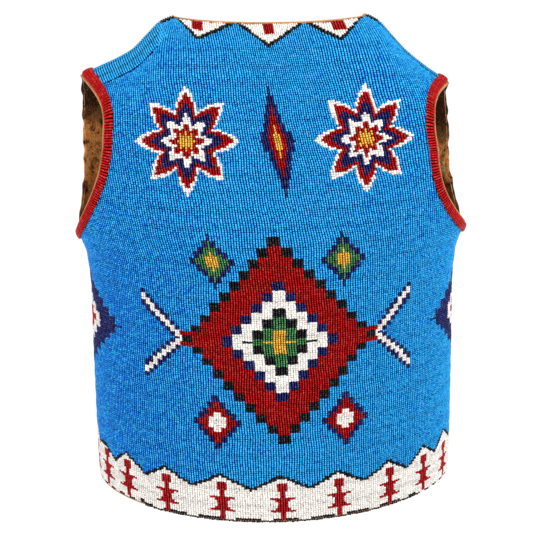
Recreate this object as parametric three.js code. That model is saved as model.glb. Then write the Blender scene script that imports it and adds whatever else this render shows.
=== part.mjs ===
import * as THREE from 'three';

// A beaded suede vest, filled out as it is worn, in millimetres.
// +Y is the wearer's front, +X the wearer's right and +Z up.
// The origin lies midway between the two side-neck points, where the shoulders carry it.

// Driving sizes
const hemHeight = -484;
const hemSideRise = 10;
const underarmHeight = -210;
const underarmRounding = 70;
const neckHalfWidth = 95;
const backNeckDip = 9;
const backNeckSquareness = 0.6;
const frontNeckHeight = -170;
const frontNeckBow = { out: 58, height: -88 };
const frontGapAtNeck = 8;
const frontGapAtHem = 16;
const shoulderRounding = 60;
const wall = 3;
const seamGap = 0.3;
const bindingInset = 3.5;
const bindingWidth = 9;
const bindingThickness = 2.4;
const bindingLift = 0.35;

// Rows and columns of the panels' walls, and stations round an armhole
const rowsBelowArmhole = 13;
const rowsBesideArmhole = 9;
const rowsOnShoulder = 5;
const columnsUnderArmhole = 5;
const columnsAcrossShoulder = 6;
const columnsAcrossBackNeck = 18;
const columnsAcrossFront = 12;
const stationsOnBackEdge = 38;
const stationsOnFrontEdge = 34;
const samplesAlongEdge = 240;

// Where the panels' patches part, as shares of an edge's length
const armholeBottomEnds = 0.28;
const armholeTopStarts = 0.8;
const neckBottomStarts = 0.21;

const beadBlue = new THREE.MeshStandardMaterial({ color: 0x2a93dd, roughness: 0.35, metalness: 0 });
const beadRed = new THREE.MeshStandardMaterial({ color: 0xb8141d, roughness: 0.35, metalness: 0 });

// The body's oval section, level by level
const levels = [
  { height: -480, halfWidth: 187, backDepth: 125, frontDepth: 122 },
  { height: -420, halfWidth: 188, backDepth: 125, frontDepth: 120 },
  { height: -340, halfWidth: 188, backDepth: 124, frontDepth: 119 },
  { height: -270, halfWidth: 187.5, backDepth: 125, frontDepth: 121 },
  { height: -235, halfWidth: 190.5, backDepth: 125, frontDepth: 121 },
  { height: -210, halfWidth: 199.5, backDepth: 124, frontDepth: 120 },
  { height: -165, halfWidth: 210, backDepth: 119.5, frontDepth: 114 },
  { height: -120, halfWidth: 216, backDepth: 113, frontDepth: 106 },
  { height: -60, halfWidth: 210, backDepth: 97, frontDepth: 84 },
  { height: 0, halfWidth: 198, backDepth: 74, frontDepth: 58 },
  { height: 40, halfWidth: 188, backDepth: 50, frontDepth: 38 },
];

// The shoulder seam's height against its distance out from the middle; inside the neck
// it goes on as the form's own crest
const crest = {
  left: [
    { out: -60, height: 17 }, { out: 0, height: 23 }, { out: 60, height: 17 },
    { out: 80, height: 9 }, { out: 95, height: 0 }, { out: 108, height: -5.5 },
    { out: 121, height: -17.5 }, { out: 136, height: -32 }, { out: 150, height: -40 },
    { out: 167, height: -47.5 }, { out: 189, height: -57 }, { out: 225, height: -71 },
  ],
  right: [
    { out: -60, height: 17 }, { out: 0, height: 23 }, { out: 60, height: 17 },
    { out: 80, height: 9 }, { out: 95, height: 0 }, { out: 107, height: -6.5 },
    { out: 119, height: -19 }, { out: 133, height: -34 }, { out: 152, height: -49.5 },
    { out: 181, height: -68.5 }, { out: 225, height: -93 },
  ],
};

// How far each armhole edge lies round the body from the side seam's line, in degrees,
// from the underarm up to the shoulder tip, before the underarm's rounding
const armhole = {
  left: {
    back: [
      { height: -210, turn: 30 }, { height: -180, turn: 33.8 }, { height: -160, turn: 36 },
      { height: -140, turn: 38.8 }, { height: -120, turn: 40.8 }, { height: -100, turn: 41 },
      { height: -88, turn: 40 }, { height: -78, turn: 37.5 }, { height: -67, turn: 32.5 },
      { height: -57, turn: 25.6 },
    ],
    front: [
      { height: -210, turn: 19 }, { height: -150, turn: 24 }, { height: -115, turn: 26 },
      { height: -57, turn: 25.6 },
    ],
  },
  right: {
    back: [
      { height: -210, turn: 41 }, { height: -160, turn: 41.5 }, { height: -135, turn: 43 },
      { height: -108, turn: 44.6 }, { height: -92, turn: 43.8 }, { height: -81, turn: 41.3 },
      { height: -74, turn: 37.3 }, { height: -68.5, turn: 31 },
    ],
    front: [
      { height: -210, turn: 19 }, { height: -150, turn: 25 }, { height: -110, turn: 27.7 },
      { height: -68.5, turn: 31 },
    ],
  },
};

// A smooth curve through a table's rows that never overshoots them
function curveThrough(rows, from, to) {
  const steps = rows.slice(1).map((row, i) => row[from] - rows[i][from]);
  const rises = rows.slice(1).map((row, i) => (row[to] - rows[i][to]) / steps[i]);
  const slopes = rows.map((row, i) => {
    if (i === 0) return rises[0];
    if (i === rises.length) return rises[i - 1];
    const before = rises[i - 1];
    const after = rises[i];
    return before * after <= 0 ? 0 : (2 * before * after) / (before + after);
  });
  return (place) => {
    let i = 0;
    while (i < steps.length - 1 && place > rows[i + 1][from]) i += 1;
    const t = Math.min(Math.max((place - rows[i][from]) / steps[i], 0), 1);
    const s = 1 - t;
    return rows[i][to] * (1 + 2 * t) * s * s + slopes[i] * steps[i] * t * s * s
      + rows[i + 1][to] * (3 - 2 * t) * t * t - slopes[i + 1] * steps[i] * t * t * s;
  };
}

const halfWidthAt = curveThrough(levels, 'height', 'halfWidth');
const depthAt = {
  back: curveThrough(levels, 'height', 'backDepth'),
  front: curveThrough(levels, 'height', 'frontDepth'),
};
const crestAt = {
  left: curveThrough(crest.left, 'out', 'height'),
  right: curveThrough(crest.right, 'out', 'height'),
};
const facing = { back: -1, front: 1 };
const bodySide = { left: -1, right: 1 };

function crestHeight(x) {
  return x < 0 ? crestAt.left(-x) : crestAt.right(x);
}

// A place on the form is an angle round the body from its middle, back or front,
// and a wrap: the way down over the rounded shoulder from its crest
const quarterWrap = shoulderRounding * Math.PI / 2;

function dropOf(wrap) {
  if (wrap > quarterWrap) return shoulderRounding + wrap - quarterWrap;
  return shoulderRounding * (1 - Math.cos(wrap / shoulderRounding));
}

function wrapOf(drop) {
  if (drop > shoulderRounding) return quarterWrap + drop - shoulderRounding;
  return shoulderRounding * Math.acos(1 - Math.max(drop, 0) / shoulderRounding);
}

// The crest's height depends on how far out the form is, and that on the height,
// so the height settles over a few passes
const heightPasses = 12;

function heightAt([angle, wrap]) {
  const drop = dropOf(wrap);
  let z = -drop;
  for (let pass = 0; pass < heightPasses; pass += 1) {
    z = crestHeight(halfWidthAt(z) * Math.sin(angle)) - drop;
  }
  return z;
}

function pointAt(half, place) {
  const [angle, wrap] = place;
  const z = heightAt(place);
  const closing = wrap > quarterWrap ? 1 : Math.sin(wrap / shoulderRounding);
  const y = facing[half] * depthAt[half](z) * Math.cos(angle) * closing;
  return new THREE.Vector3(halfWidthAt(z) * Math.sin(angle), y, z);
}

function placeAt(angle, z) {
  return [angle, wrapOf(crestHeight(halfWidthAt(z) * Math.sin(angle)) - z)];
}

function spot(x, z) {
  return placeAt(Math.asin(Math.min(Math.max(x / halfWidthAt(z), -1), 1)), z);
}

const angleStep = 0.002;
const wrapStep = 0.2;

function slopesAt(half, [angle, wrap]) {
  const round = pointAt(half, [angle + angleStep, wrap])
    .sub(pointAt(half, [angle - angleStep, wrap])).divideScalar(2 * angleStep);
  const down = pointAt(half, [angle, wrap + wrapStep])
    .sub(pointAt(half, [angle, wrap - wrapStep])).divideScalar(2 * wrapStep);
  return { round, down };
}

function outwardAt(half, place) {
  const { round, down } = slopesAt(half, place);
  return down.cross(round).multiplyScalar(-facing[half]).normalize();
}

// Edges of the panels, as places at even steps along them
function evenPlaces(half, path, count) {
  const places = Array.from({ length: samplesAlongEdge + 1 }, (_, i) => path(i / samplesAlongEdge));
  const points = places.map((place) => pointAt(half, place));
  const run = [0];
  for (let i = 1; i < points.length; i += 1) run.push(run[i - 1] + points[i].distanceTo(points[i - 1]));
  const total = run[samplesAlongEdge];
  return Array.from({ length: count + 1 }, (_, k) => {
    const goal = total * k / count;
    let i = 1;
    while (i < samplesAlongEdge && run[i] < goal) i += 1;
    const t = (goal - run[i - 1]) / (run[i] - run[i - 1]);
    return places[i].map((value, n) => places[i - 1][n] * (1 - t) + value * t);
  });
}

const mix = (a, b, t) => a * (1 - t) + b * t;
const easeBothEnds = (t) => (1 - Math.cos(Math.PI * t)) / 2;

function hemPlace(angle) {
  return placeAt(angle, hemHeight + hemSideRise * Math.sin(angle) ** 2);
}

function sideSeam(side) {
  const angle = bodySide[side] * Math.PI / 2;
  return (t) => placeAt(angle, mix(hemHeight + hemSideRise, underarmHeight, t));
}

function armholeEdge(side, half) {
  const rows = armhole[side][half];
  const tip = rows[rows.length - 1].height;
  const turnAt = curveThrough(rows, 'height', 'turn');
  return (t) => {
    const z = mix(underarmHeight, tip, easeBothEnds(t));
    const rounding = Math.min((z - underarmHeight) / underarmRounding, 1);
    const turn = turnAt(z) * Math.sqrt(rounding * (2 - rounding));
    const angle = bodySide[side] * (Math.PI / 2 - THREE.MathUtils.degToRad(turn));
    return t === 1 ? [angle, 0] : placeAt(angle, z);
  };
}

function shoulderSeam(side) {
  const [tipAngle] = armholeEdge(side, 'back')(1);
  const [neckAngle] = spot(bodySide[side] * neckHalfWidth, 0);
  return (t) => [mix(tipAngle, neckAngle, t), 0];
}

function backNeck(t) {
  const x = -neckHalfWidth * Math.cos(Math.PI * t);
  const squared = Math.max(1 - (x / neckHalfWidth) ** 2, 0);
  return spot(x, -backNeckDip * squared ** backNeckSquareness);
}

function frontEdge(side) {
  return (t) => {
    const z = mix(hemHeight, frontNeckHeight, t);
    return spot(bodySide[side] * mix(frontGapAtHem, frontGapAtNeck, t) / 2, z);
  };
}

function frontNeck(side) {
  return (t) => {
    const u = easeBothEnds(t);
    const s = 1 - u;
    const x = s * s * frontGapAtNeck / 2 + 2 * s * u * frontNeckBow.out + u * u * neckHalfWidth;
    const z = s * s * frontNeckHeight + 2 * s * u * frontNeckBow.height;
    return spot(bodySide[side] * x, z);
  };
}

// A way across a panel from one place to another, down from the crest or level
function across(from, to) {
  return (t) => [mix(from[0], to[0], t), mix(from[1], to[1], t)];
}

function levelAcross(from, to) {
  return (t) => placeAt(mix(from[0], to[0], t), mix(heightAt(from), heightAt(to), t));
}

function stretch(path, start, end) {
  return (t) => path(mix(start, end, t));
}

const joined = (...runs) => runs.flatMap((run, i) => (i === 0 ? run : run.slice(1)));

// A grid of places between four edges
function placesBetween(bottom, top, left, right) {
  const columns = bottom.length - 1;
  const rows = left.length - 1;
  return left.map((_, j) => bottom.map((__, i) => [0, 1].map((n) => {
    const s = i / columns;
    const t = j / rows;
    const fromSides = mix(left[j][n], right[j][n], s);
    const fromEnds = mix(bottom[i][n], top[i][n], t);
    const corners = mix(mix(bottom[0][n], bottom[columns][n], s), mix(top[0][n], top[columns][n], s), t);
    return fromSides + fromEnds - corners;
  })));
}

// The same, with its rows level rather than following the crest
function levelPlacesBetween(...edges) {
  const [bottom, top, left, right] = edges;
  const level = placesBetween(...edges.map((edge) => edge.map((place) => [place[0], heightAt(place)])));
  return level.map((row, j) => {
    if (j === 0) return bottom;
    if (j === level.length - 1) return top;
    const inner = row.slice(1, -1).map(([angle, z]) => placeAt(angle, z));
    return [left[j], ...inner, right[j]];
  });
}

function meshFrom(name, points, faces, material) {
  const geometry = new THREE.BufferGeometry();
  geometry.setAttribute('position', new THREE.Float32BufferAttribute(points.flatMap((p) => p.toArray()), 3));
  geometry.setIndex(faces.flat());
  geometry.computeVertexNormals();
  const mesh = new THREE.Mesh(geometry, material);
  mesh.name = name;
  return mesh;
}

// A wall over a few grids that share edges: the outer face on the form, the inner one
// a wall's thickness in, and a rim wherever a cell's edge has no neighbour
function wallPanel(name, half, grids, turned) {
  const known = new Map();
  const places = [];
  const indexOf = (place) => {
    const key = place.map((value) => value.toFixed(6)).join();
    if (!known.has(key)) {
      known.set(key, places.length);
      places.push(place);
    }
    return known.get(key);
  };
  const cells = grids.flatMap((grid) => grid.slice(1).flatMap((row, j) => row.slice(1).map((place, i) => {
    const cell = [grid[j][i], grid[j][i + 1], place, row[i]].map(indexOf);
    return turned ? cell.reverse() : cell;
  })));
  const shift = new THREE.Vector3(0, facing[half] * seamGap / 2, 0);
  const outer = places.map((place) => pointAt(half, place).add(shift));
  const inner = places.map((place, i) => outwardAt(half, place).multiplyScalar(-wall).add(outer[i]));
  const inside = places.length;
  const sidesOf = ([a, b, c, d]) => [[a, b], [b, c], [c, d], [d, a]];
  const used = new Set(cells.flatMap(sidesOf).map(String));
  const rim = cells.flatMap(sidesOf).filter(([a, b]) => !used.has(String([b, a])));
  const faces = [
    ...cells.flatMap(([a, b, c, d]) => [[a, b, c], [a, c, d]]),
    ...cells.flatMap(([a, b, c, d]) => [[a, c, b], [a, d, c]].map((face) => face.map((k) => k + inside))),
    ...rim.flatMap(([a, b]) => [[b, a, a + inside], [b, a + inside, b + inside]]),
  ];
  return meshFrom(name, [...outer, ...inner], faces, beadBlue);
}

// The three stretches of an armhole edge, from the underarm up
function armholeStretches(side, half) {
  const path = armholeEdge(side, half);
  return {
    bottom: evenPlaces(half, stretch(path, 0, armholeBottomEnds), columnsUnderArmhole),
    middle: evenPlaces(half, stretch(path, armholeBottomEnds, armholeTopStarts), rowsBesideArmhole),
    top: evenPlaces(half, stretch(path, armholeTopStarts, 1), rowsOnShoulder),
  };
}

function backPanel() {
  const half = 'back';
  const left = armholeStretches('left', half);
  const right = armholeStretches('right', half);
  const neckBottomEnds = 1 - neckBottomStarts;
  const leftNeck = evenPlaces(half, stretch(backNeck, neckBottomStarts, 0), rowsOnShoulder);
  const rightNeck = evenPlaces(half, stretch(backNeck, neckBottomEnds, 1), rowsOnShoulder);
  const lowNeck = stretch(backNeck, neckBottomStarts, neckBottomEnds);
  const neckBottom = evenPlaces(half, lowNeck, columnsAcrossBackNeck);
  const leftYoke = evenPlaces(half, across(left.top[0], leftNeck[0]), columnsAcrossShoulder);
  const rightYoke = evenPlaces(half, across(rightNeck[0], right.top[0]), columnsAcrossShoulder);
  const leftShoulder = evenPlaces(half, shoulderSeam('left'), columnsAcrossShoulder);
  const rightShoulder = evenPlaces(half, shoulderSeam('right'), columnsAcrossShoulder).reverse();
  const yoke = joined(leftYoke, neckBottom, rightYoke);
  const shelf = evenPlaces(half, levelAcross(left.middle[0], right.middle[0]), yoke.length - 1);
  const chest = joined(left.bottom, shelf, [...right.bottom].reverse());
  const hem = evenPlaces(half, (t) => hemPlace(mix(-Math.PI / 2, Math.PI / 2, t)), chest.length - 1);
  const seams = ['left', 'right'].map((side) => evenPlaces(half, sideSeam(side), rowsBelowArmhole));
  const grids = [
    levelPlacesBetween(hem, chest, ...seams),
    levelPlacesBetween(shelf, yoke, left.middle, right.middle),
    placesBetween(leftYoke, leftShoulder, left.top, leftNeck),
    placesBetween(rightYoke, rightShoulder, rightNeck, right.top),
  ];
  return wallPanel('back', half, grids, false);
}

function frontPanel(side) {
  const half = 'front';
  const edge = armholeStretches(side, half);
  const armholeSide = joined(edge.middle, edge.top);
  const middle = evenPlaces(half, frontEdge(side), rowsBelowArmhole);
  const neck = evenPlaces(half, frontNeck(side), armholeSide.length - 1);
  const shelf = evenPlaces(half, levelAcross(neck[0], armholeSide[0]), columnsAcrossFront);
  const chest = joined(shelf, [...edge.bottom].reverse());
  const sideAngle = bodySide[side] * Math.PI / 2;
  const hem = evenPlaces(half, (t) => hemPlace(mix(middle[0][0], sideAngle, t)), chest.length - 1);
  const shoulder = evenPlaces(half, shoulderSeam(side), columnsAcrossFront).reverse();
  const grids = [
    levelPlacesBetween(hem, chest, middle, evenPlaces(half, sideSeam(side), rowsBelowArmhole)),
    placesBetween(shelf, shoulder, neck, armholeSide),
  ];
  return wallPanel(`front_${side}`, half, grids, side === 'right');
}

// The binding's domed section: how far across it, and how thick there
const bindingSection = [
  { across: 0, thick: 0 },
  { across: 0, thick: 0.7 },
  { across: 0.25, thick: 1 },
  { across: 0.75, thick: 1 },
  { across: 1, thick: 0.7 },
  { across: 1, thick: 0 },
  { across: 0.5, thick: 0 },
];

function placeInward(half, place, inward, distance) {
  const { round, down } = slopesAt(half, place);
  const rr = round.dot(round);
  const rd = round.dot(down);
  const dd = down.dot(down);
  const r = inward.dot(round) * distance;
  const d = inward.dot(down) * distance;
  const scale = rr * dd - rd * rd;
  return [place[0] + (r * dd - d * rd) / scale, place[1] + (d * rr - r * rd) / scale];
}

function armholeBinding(side) {
  const up = evenPlaces('back', armholeEdge(side, 'back'), stationsOnBackEdge);
  const down = evenPlaces('front', armholeEdge(side, 'front'), stationsOnFrontEdge).reverse();
  const stations = [
    ...up.map((place, i) => ({ half: 'back', place, onSeam: i === 0 || i === up.length - 1 })),
    ...down.slice(1, -1).map((place) => ({ half: 'front', place, onSeam: false })),
  ];
  const edge = stations.map(({ half, place }) => pointAt(half, place));
  const count = stations.length;
  const points = stations.flatMap(({ half, place, onSeam }, k) => {
    const ahead = edge[(k + 1) % count].clone().sub(edge[(k + count - 1) % count]);
    const inward = outwardAt(half, place).cross(ahead).multiplyScalar(bodySide[side]).normalize();
    const shift = new THREE.Vector3(0, onSeam ? 0 : facing[half] * seamGap / 2, 0);
    return bindingSection.map((row) => {
      const spotIn = placeInward(half, place, inward, bindingInset + row.across * bindingWidth);
      const lift = bindingLift + row.thick * bindingThickness;
      return outwardAt(half, spotIn).multiplyScalar(lift).add(pointAt(half, spotIn)).add(shift);
    });
  });
  const ring = bindingSection.length;
  const faces = [];
  for (let k = 0; k < count; k += 1) {
    for (let i = 0; i < ring; i += 1) {
      const a = k * ring + i;
      const b = k * ring + (i + 1) % ring;
      const c = ((k + 1) % count) * ring + (i + 1) % ring;
      const d = ((k + 1) % count) * ring + i;
      faces.push(...(side === 'left' ? [[a, b, c], [a, c, d]] : [[a, c, b], [a, d, c]]));
    }
  }
  return meshFrom(`armhole_binding_${side}`, points, faces, beadRed);
}

const vest = new THREE.Group();
vest.add(backPanel(), frontPanel('left'), frontPanel('right'));
vest.add(armholeBinding('left'), armholeBinding('right'));

export default vest;
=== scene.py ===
"""A beaded suede vest, filled out as it is worn: hide panels sewn over with glass beads.

+Y is the wearer's front, +X the wearer's right and +Z up. Form and patterns are worked out in
millimetres, as a beadworker would chart them, and meshes are made in metres.
"""

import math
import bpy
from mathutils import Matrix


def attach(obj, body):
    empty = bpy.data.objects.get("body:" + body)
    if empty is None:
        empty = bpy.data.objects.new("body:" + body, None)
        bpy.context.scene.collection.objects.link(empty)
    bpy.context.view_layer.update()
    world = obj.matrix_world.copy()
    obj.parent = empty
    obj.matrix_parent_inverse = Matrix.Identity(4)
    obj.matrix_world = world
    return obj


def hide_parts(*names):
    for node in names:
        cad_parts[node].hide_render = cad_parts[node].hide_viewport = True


bl_info = {
    "name": "Beaded suede vest",
    "version": (1, 0, 0),
    "blender": (4, 5, 0),
    "location": "View3D > Sidebar > Vest",
    "description": "Sews hide panels over with glass beads, round the packed frame of a vest",
    "category": "Object",
}

from collections import namedtuple

import bmesh
import bpy
import numpy as np
from bpy.props import FloatProperty, FloatVectorProperty, IntProperty, PointerProperty
from mathutils import Matrix, Vector

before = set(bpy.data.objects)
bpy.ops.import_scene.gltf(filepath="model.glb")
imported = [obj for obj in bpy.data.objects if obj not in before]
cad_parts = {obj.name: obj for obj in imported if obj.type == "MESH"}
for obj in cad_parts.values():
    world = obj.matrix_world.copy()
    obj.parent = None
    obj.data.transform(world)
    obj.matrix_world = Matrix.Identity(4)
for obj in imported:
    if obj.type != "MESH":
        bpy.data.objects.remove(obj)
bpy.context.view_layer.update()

MM = 0.001
BODY = "root"
BAKE_MAP = "OFBake"
COLOUR = "bead_colour"
VALLEY_SHADE = "bead_valley"

# --- The form: an oval body closed by a rounded shoulder ---------------------------------------

HEM_HEIGHT = -484.0
HEM_SIDE_RISE = 10.0
UNDERARM_HEIGHT = -210.0
UNDERARM_ROUNDING = 70.0
NECK_HALF_WIDTH = 95.0
BACK_NECK_DIP = 9.0
BACK_NECK_SQUARENESS = 0.6
FRONT_NECK_HEIGHT = -170.0
FRONT_NECK_BOW = (58.0, -88.0)
FRONT_GAP_AT_NECK = 8.0
FRONT_GAP_AT_HEM = 16.0
SHOULDER_ROUNDING = 60.0
WALL = 3.0
SEAM_GAP = 0.3
BINDING_INSET = 3.5
BINDING_WIDTH = 9.0
BINDING_THICKNESS = 2.4
BINDING_LIFT = 0.35

Level = namedtuple("Level", "height half_width back_depth front_depth")
LEVELS = (
    Level(-480, 187, 125, 122),
    Level(-420, 188, 125, 120),
    Level(-340, 188, 124, 119),
    Level(-270, 187.5, 125, 121),
    Level(-235, 190.5, 125, 121),
    Level(-210, 199.5, 124, 120),
    Level(-165, 210, 119.5, 114),
    Level(-120, 216, 113, 106),
    Level(-60, 210, 97, 84),
    Level(0, 198, 74, 58),
    Level(40, 188, 50, 38),
)

# The shoulder seam's height against its distance out from the middle
Crest = namedtuple("Crest", "out height")
CREST = {
    "left": [Crest(*row) for row in (
        (-60, 17), (0, 23), (60, 17), (80, 9), (95, 0), (108, -5.5), (121, -17.5),
        (136, -32), (150, -40), (167, -47.5), (189, -57), (225, -71),
    )],
    "right": [Crest(*row) for row in (
        (-60, 17), (0, 23), (60, 17), (80, 9), (95, 0), (107, -6.5), (119, -19),
        (133, -34), (152, -49.5), (181, -68.5), (225, -93),
    )],
}

# How far each armhole edge lies round the body from the side seam, in degrees
Edge = namedtuple("Edge", "height turn")
ARMHOLE = {
    ("left", "back"): [Edge(*row) for row in (
        (-210, 30), (-180, 33.8), (-160, 36), (-140, 38.8), (-120, 40.8), (-100, 41),
        (-88, 40), (-78, 37.5), (-67, 32.5), (-57, 25.6),
    )],
    ("left", "front"): [Edge(*row) for row in ((-210, 19), (-150, 24), (-115, 26), (-57, 25.6))],
    ("right", "back"): [Edge(*row) for row in (
        (-210, 41), (-160, 41.5), (-135, 43), (-108, 44.6), (-92, 43.8), (-81, 41.3),
        (-74, 37.3), (-68.5, 31),
    )],
    ("right", "front"): [Edge(*row) for row in ((-210, 19), (-150, 25), (-110, 27.7), (-68.5, 31))],
}

FACING = {"back": -1.0, "front": 1.0}
BODY_SIDE = {"left": -1.0, "right": 1.0}
QUARTER_TURN = math.pi / 2
QUARTER_WRAP = SHOULDER_ROUNDING * QUARTER_TURN
HEIGHT_PASSES = 12
TURN_STEP = 0.002
WRAP_STEP = 0.2


def curve_through(rows, column):
    """A smooth curve through a table's rows that never overshoots them."""
    places = np.array([row[0] for row in rows], float)
    values = np.array([getattr(row, column) for row in rows], float)
    steps = np.diff(places)
    rises = np.diff(values) / steps
    before, after = rises[:-1], rises[1:]
    same_way = before * after > 0
    meeting = 2 * before * after / np.where(same_way, before + after, 1)
    slopes = np.concatenate([rises[:1], np.where(same_way, meeting, 0), rises[-1:]])

    def curve(place):
        i = np.clip(np.searchsorted(places, place) - 1, 0, len(steps) - 1)
        t = np.clip((place - places[i]) / steps[i], 0, 1)
        s = 1 - t
        start = values[i] * (1 + 2 * t) * s * s + slopes[i] * steps[i] * t * s * s
        return start + values[i + 1] * (3 - 2 * t) * t * t - slopes[i + 1] * steps[i] * t * t * s

    return curve


half_width_at = curve_through(LEVELS, "half_width")
depth_at = {half: curve_through(LEVELS, f"{half}_depth") for half in FACING}
crest_at = {side: curve_through(rows, "height") for side, rows in CREST.items()}
edge_turn_at = {key: curve_through(rows, "turn") for key, rows in ARMHOLE.items()}


def crest_height(x):
    return np.where(x < 0, crest_at["left"](-x), crest_at["right"](x))


def drop_of(wrap):
    curled = SHOULDER_ROUNDING * (1 - np.cos(np.minimum(wrap, QUARTER_WRAP) / SHOULDER_ROUNDING))
    return np.where(wrap > QUARTER_WRAP, SHOULDER_ROUNDING + wrap - QUARTER_WRAP, curled)


def wrap_of(drop):
    curled = SHOULDER_ROUNDING * np.arccos(1 - np.clip(drop, 0, SHOULDER_ROUNDING) / SHOULDER_ROUNDING)
    return np.where(drop > SHOULDER_ROUNDING, QUARTER_WRAP + drop - SHOULDER_ROUNDING, curled)


def point_at(half, turn, wrap):
    """The form's point at a turn round the body from its middle and a way down from its crest."""
    drop = drop_of(wrap)
    z = -drop
    for _ in range(HEIGHT_PASSES):
        z = crest_height(half_width_at(z) * np.sin(turn)) - drop
    closing = np.sin(np.minimum(wrap, QUARTER_WRAP) / SHOULDER_ROUNDING)
    y = FACING[half] * depth_at[half](z) * np.cos(turn) * closing
    return np.stack([half_width_at(z) * np.sin(turn), y, z], axis=-1)


def wrap_at(turn, z):
    return wrap_of(crest_height(half_width_at(z) * np.sin(turn)) - z)


def turn_at(x, z):
    return np.arcsin(np.clip(x / half_width_at(z), -1, 1))


def surface_at(half, turn, z):
    """The form's point at a turn and a height, where no solving is needed."""
    x = half_width_at(z) * np.sin(turn)
    closing = np.sin(np.minimum(wrap_of(crest_height(x) - z), QUARTER_WRAP) / SHOULDER_ROUNDING)
    y = FACING[half] * depth_at[half](z) * np.cos(turn) * closing
    return np.stack([x, y, z + 0 * x], axis=-1)


def lengths(vectors):
    return np.linalg.norm(vectors, axis=-1)


def dot(first, second):
    return np.sum(first * second, axis=-1)


def unit(vectors):
    return vectors / np.maximum(lengths(vectors), 1e-12)[..., None]


def slopes_at(half, turn, wrap):
    around = point_at(half, turn + TURN_STEP, wrap) - point_at(half, turn - TURN_STEP, wrap)
    down = point_at(half, turn, wrap + WRAP_STEP) - point_at(half, turn, wrap - WRAP_STEP)
    return around / (2 * TURN_STEP), down / (2 * WRAP_STEP)


def outward_at(half, turn, wrap):
    around, down = slopes_at(half, turn, wrap)
    return unit(-FACING[half] * np.cross(down, around))


def place_inward(half, turn, wrap, inward, distance):
    """The place a distance along the form from another, going inward."""
    around, down = slopes_at(half, turn, wrap)
    aa = dot(around, around)
    ad = dot(around, down)
    dd = dot(down, down)
    a = dot(inward, around) * distance
    d = dot(inward, down) * distance
    scale = aa * dd - ad * ad
    return turn + (a * dd - d * ad) / scale, wrap + (d * aa - a * ad) / scale


# --- The panels' edges, as places on the form --------------------------------------------------

EDGE_SAMPLES = 400
POINTS_AT_ONCE = 4000


def ease(t):
    return (1 - np.cos(np.pi * t)) / 2


def hem_height(turn):
    return HEM_HEIGHT + HEM_SIDE_RISE * np.sin(turn) ** 2


def armhole_turn(side, half, z):
    """How far an armhole's edge is turned from the body's middle at a height."""
    rounding = np.clip((z - UNDERARM_HEIGHT) / UNDERARM_ROUNDING, 0, 1)
    turn = np.radians(edge_turn_at[side, half](z)) * np.sqrt(rounding * (2 - rounding))
    return BODY_SIDE[side] * (QUARTER_TURN - turn)


def armhole_places(side, half, count):
    tip = ARMHOLE[side, half][-1].height
    z = UNDERARM_HEIGHT + (tip - UNDERARM_HEIGHT) * ease(np.linspace(0, 1, count))
    turn = armhole_turn(side, half, z)
    wrap = wrap_at(turn, z)
    wrap[-1] = 0
    return turn, wrap


def back_neck_height(x):
    squared = np.clip(1 - (x / NECK_HALF_WIDTH) ** 2, 0, 1)
    return -BACK_NECK_DIP * squared ** BACK_NECK_SQUARENESS


def front_neck_path(count):
    u = ease(np.linspace(0, 1, count))
    s = 1 - u
    out, height = FRONT_NECK_BOW
    x = s * s * FRONT_GAP_AT_NECK / 2 + 2 * s * u * out + u * u * NECK_HALF_WIDTH
    z = s * s * FRONT_NECK_HEIGHT + 2 * s * u * height
    return x, z


def front_gap_edge(z):
    share = np.clip((z - HEM_HEIGHT) / (FRONT_NECK_HEIGHT - HEM_HEIGHT), 0, 1)
    return (FRONT_GAP_AT_HEM + (FRONT_GAP_AT_NECK - FRONT_GAP_AT_HEM) * share) / 2


def evenly(half, turn, wrap, count):
    """Places at even steps along a line of places."""
    points = point_at(half, turn, wrap)
    run = np.concatenate([[0], np.cumsum(lengths(np.diff(points, axis=0)))])
    goal = np.linspace(0, run[-1], count)
    return np.interp(goal, run, turn), np.interp(goal, run, wrap)


def line_length(half, places):
    return lengths(np.diff(point_at(half, *places), axis=0)).sum()


def neck_line(half):
    """The neck's edge of a half, from left to right, as places."""
    if half == "back":
        x = -NECK_HALF_WIDTH * np.cos(np.linspace(0, np.pi, EDGE_SAMPLES))
        z = back_neck_height(x)
    else:
        right_x, right_z = front_neck_path(EDGE_SAMPLES // 2)
        x = np.concatenate([-right_x[::-1], right_x])
        z = np.concatenate([right_z[::-1], right_z])
    turn = turn_at(x, z)
    return turn, wrap_at(turn, z)


def gap_to_line(points, line):
    """Each point's distance to the nearest of a line's points, and which one that is."""
    gaps = np.empty(len(points))
    nearest = np.empty(len(points), int)
    for start in range(0, len(points), POINTS_AT_ONCE):
        part = slice(start, start + POINTS_AT_ONCE)
        apart = lengths(points[part, None] - line[None])
        nearest[part] = apart.argmin(axis=1)
        gaps[part] = apart.min(axis=1)
    return gaps, nearest


# --- Beads: columns of them over each half -----------------------------------------------------

SKY, WHITE, RED, NAVY, BLACK, YELLOW, GREEN, MAROON, DEEP_SKY = range(9)

# How much of its own colour each glass keeps in the painted shade of the valleys between beads, in the same
# order
VALLEY_SHADE_KEEP = np.array((0.24, 0.74, 0.34, 0.2, 0.1, 0.5, 0.35, 0.6, 0.24))

Beads = namedtuple("Beads", "centre along out width length shade chart tone")
Field = namedtuple("Field", "column row turn wrap run reach rise centre along width length")

# Where the columns start to lean as they climb, and how long they take to; the same for their waver
LEAN_HEIGHT = -260
LEAN_EASE = 60
WAVER_HEIGHT = -470
WAVER_EASE = 60

# How steeply they lean everywhere and below, and how much more round one place across the back
LEAN = 0.07
LOW_LEAN = 0.03
MORE_LEAN = 0.15
MORE_LEAN_PLACE = 0.4
MORE_LEAN_SPREAD = 0.35

Waver = namedtuple("Waver", "depth length shift")
WAVERS = {"back": (Waver(0.5, 71, 1.3), Waver(0.3, 33, -2.1)), "front": (Waver(0.4, 66, 1.1),)}

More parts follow.
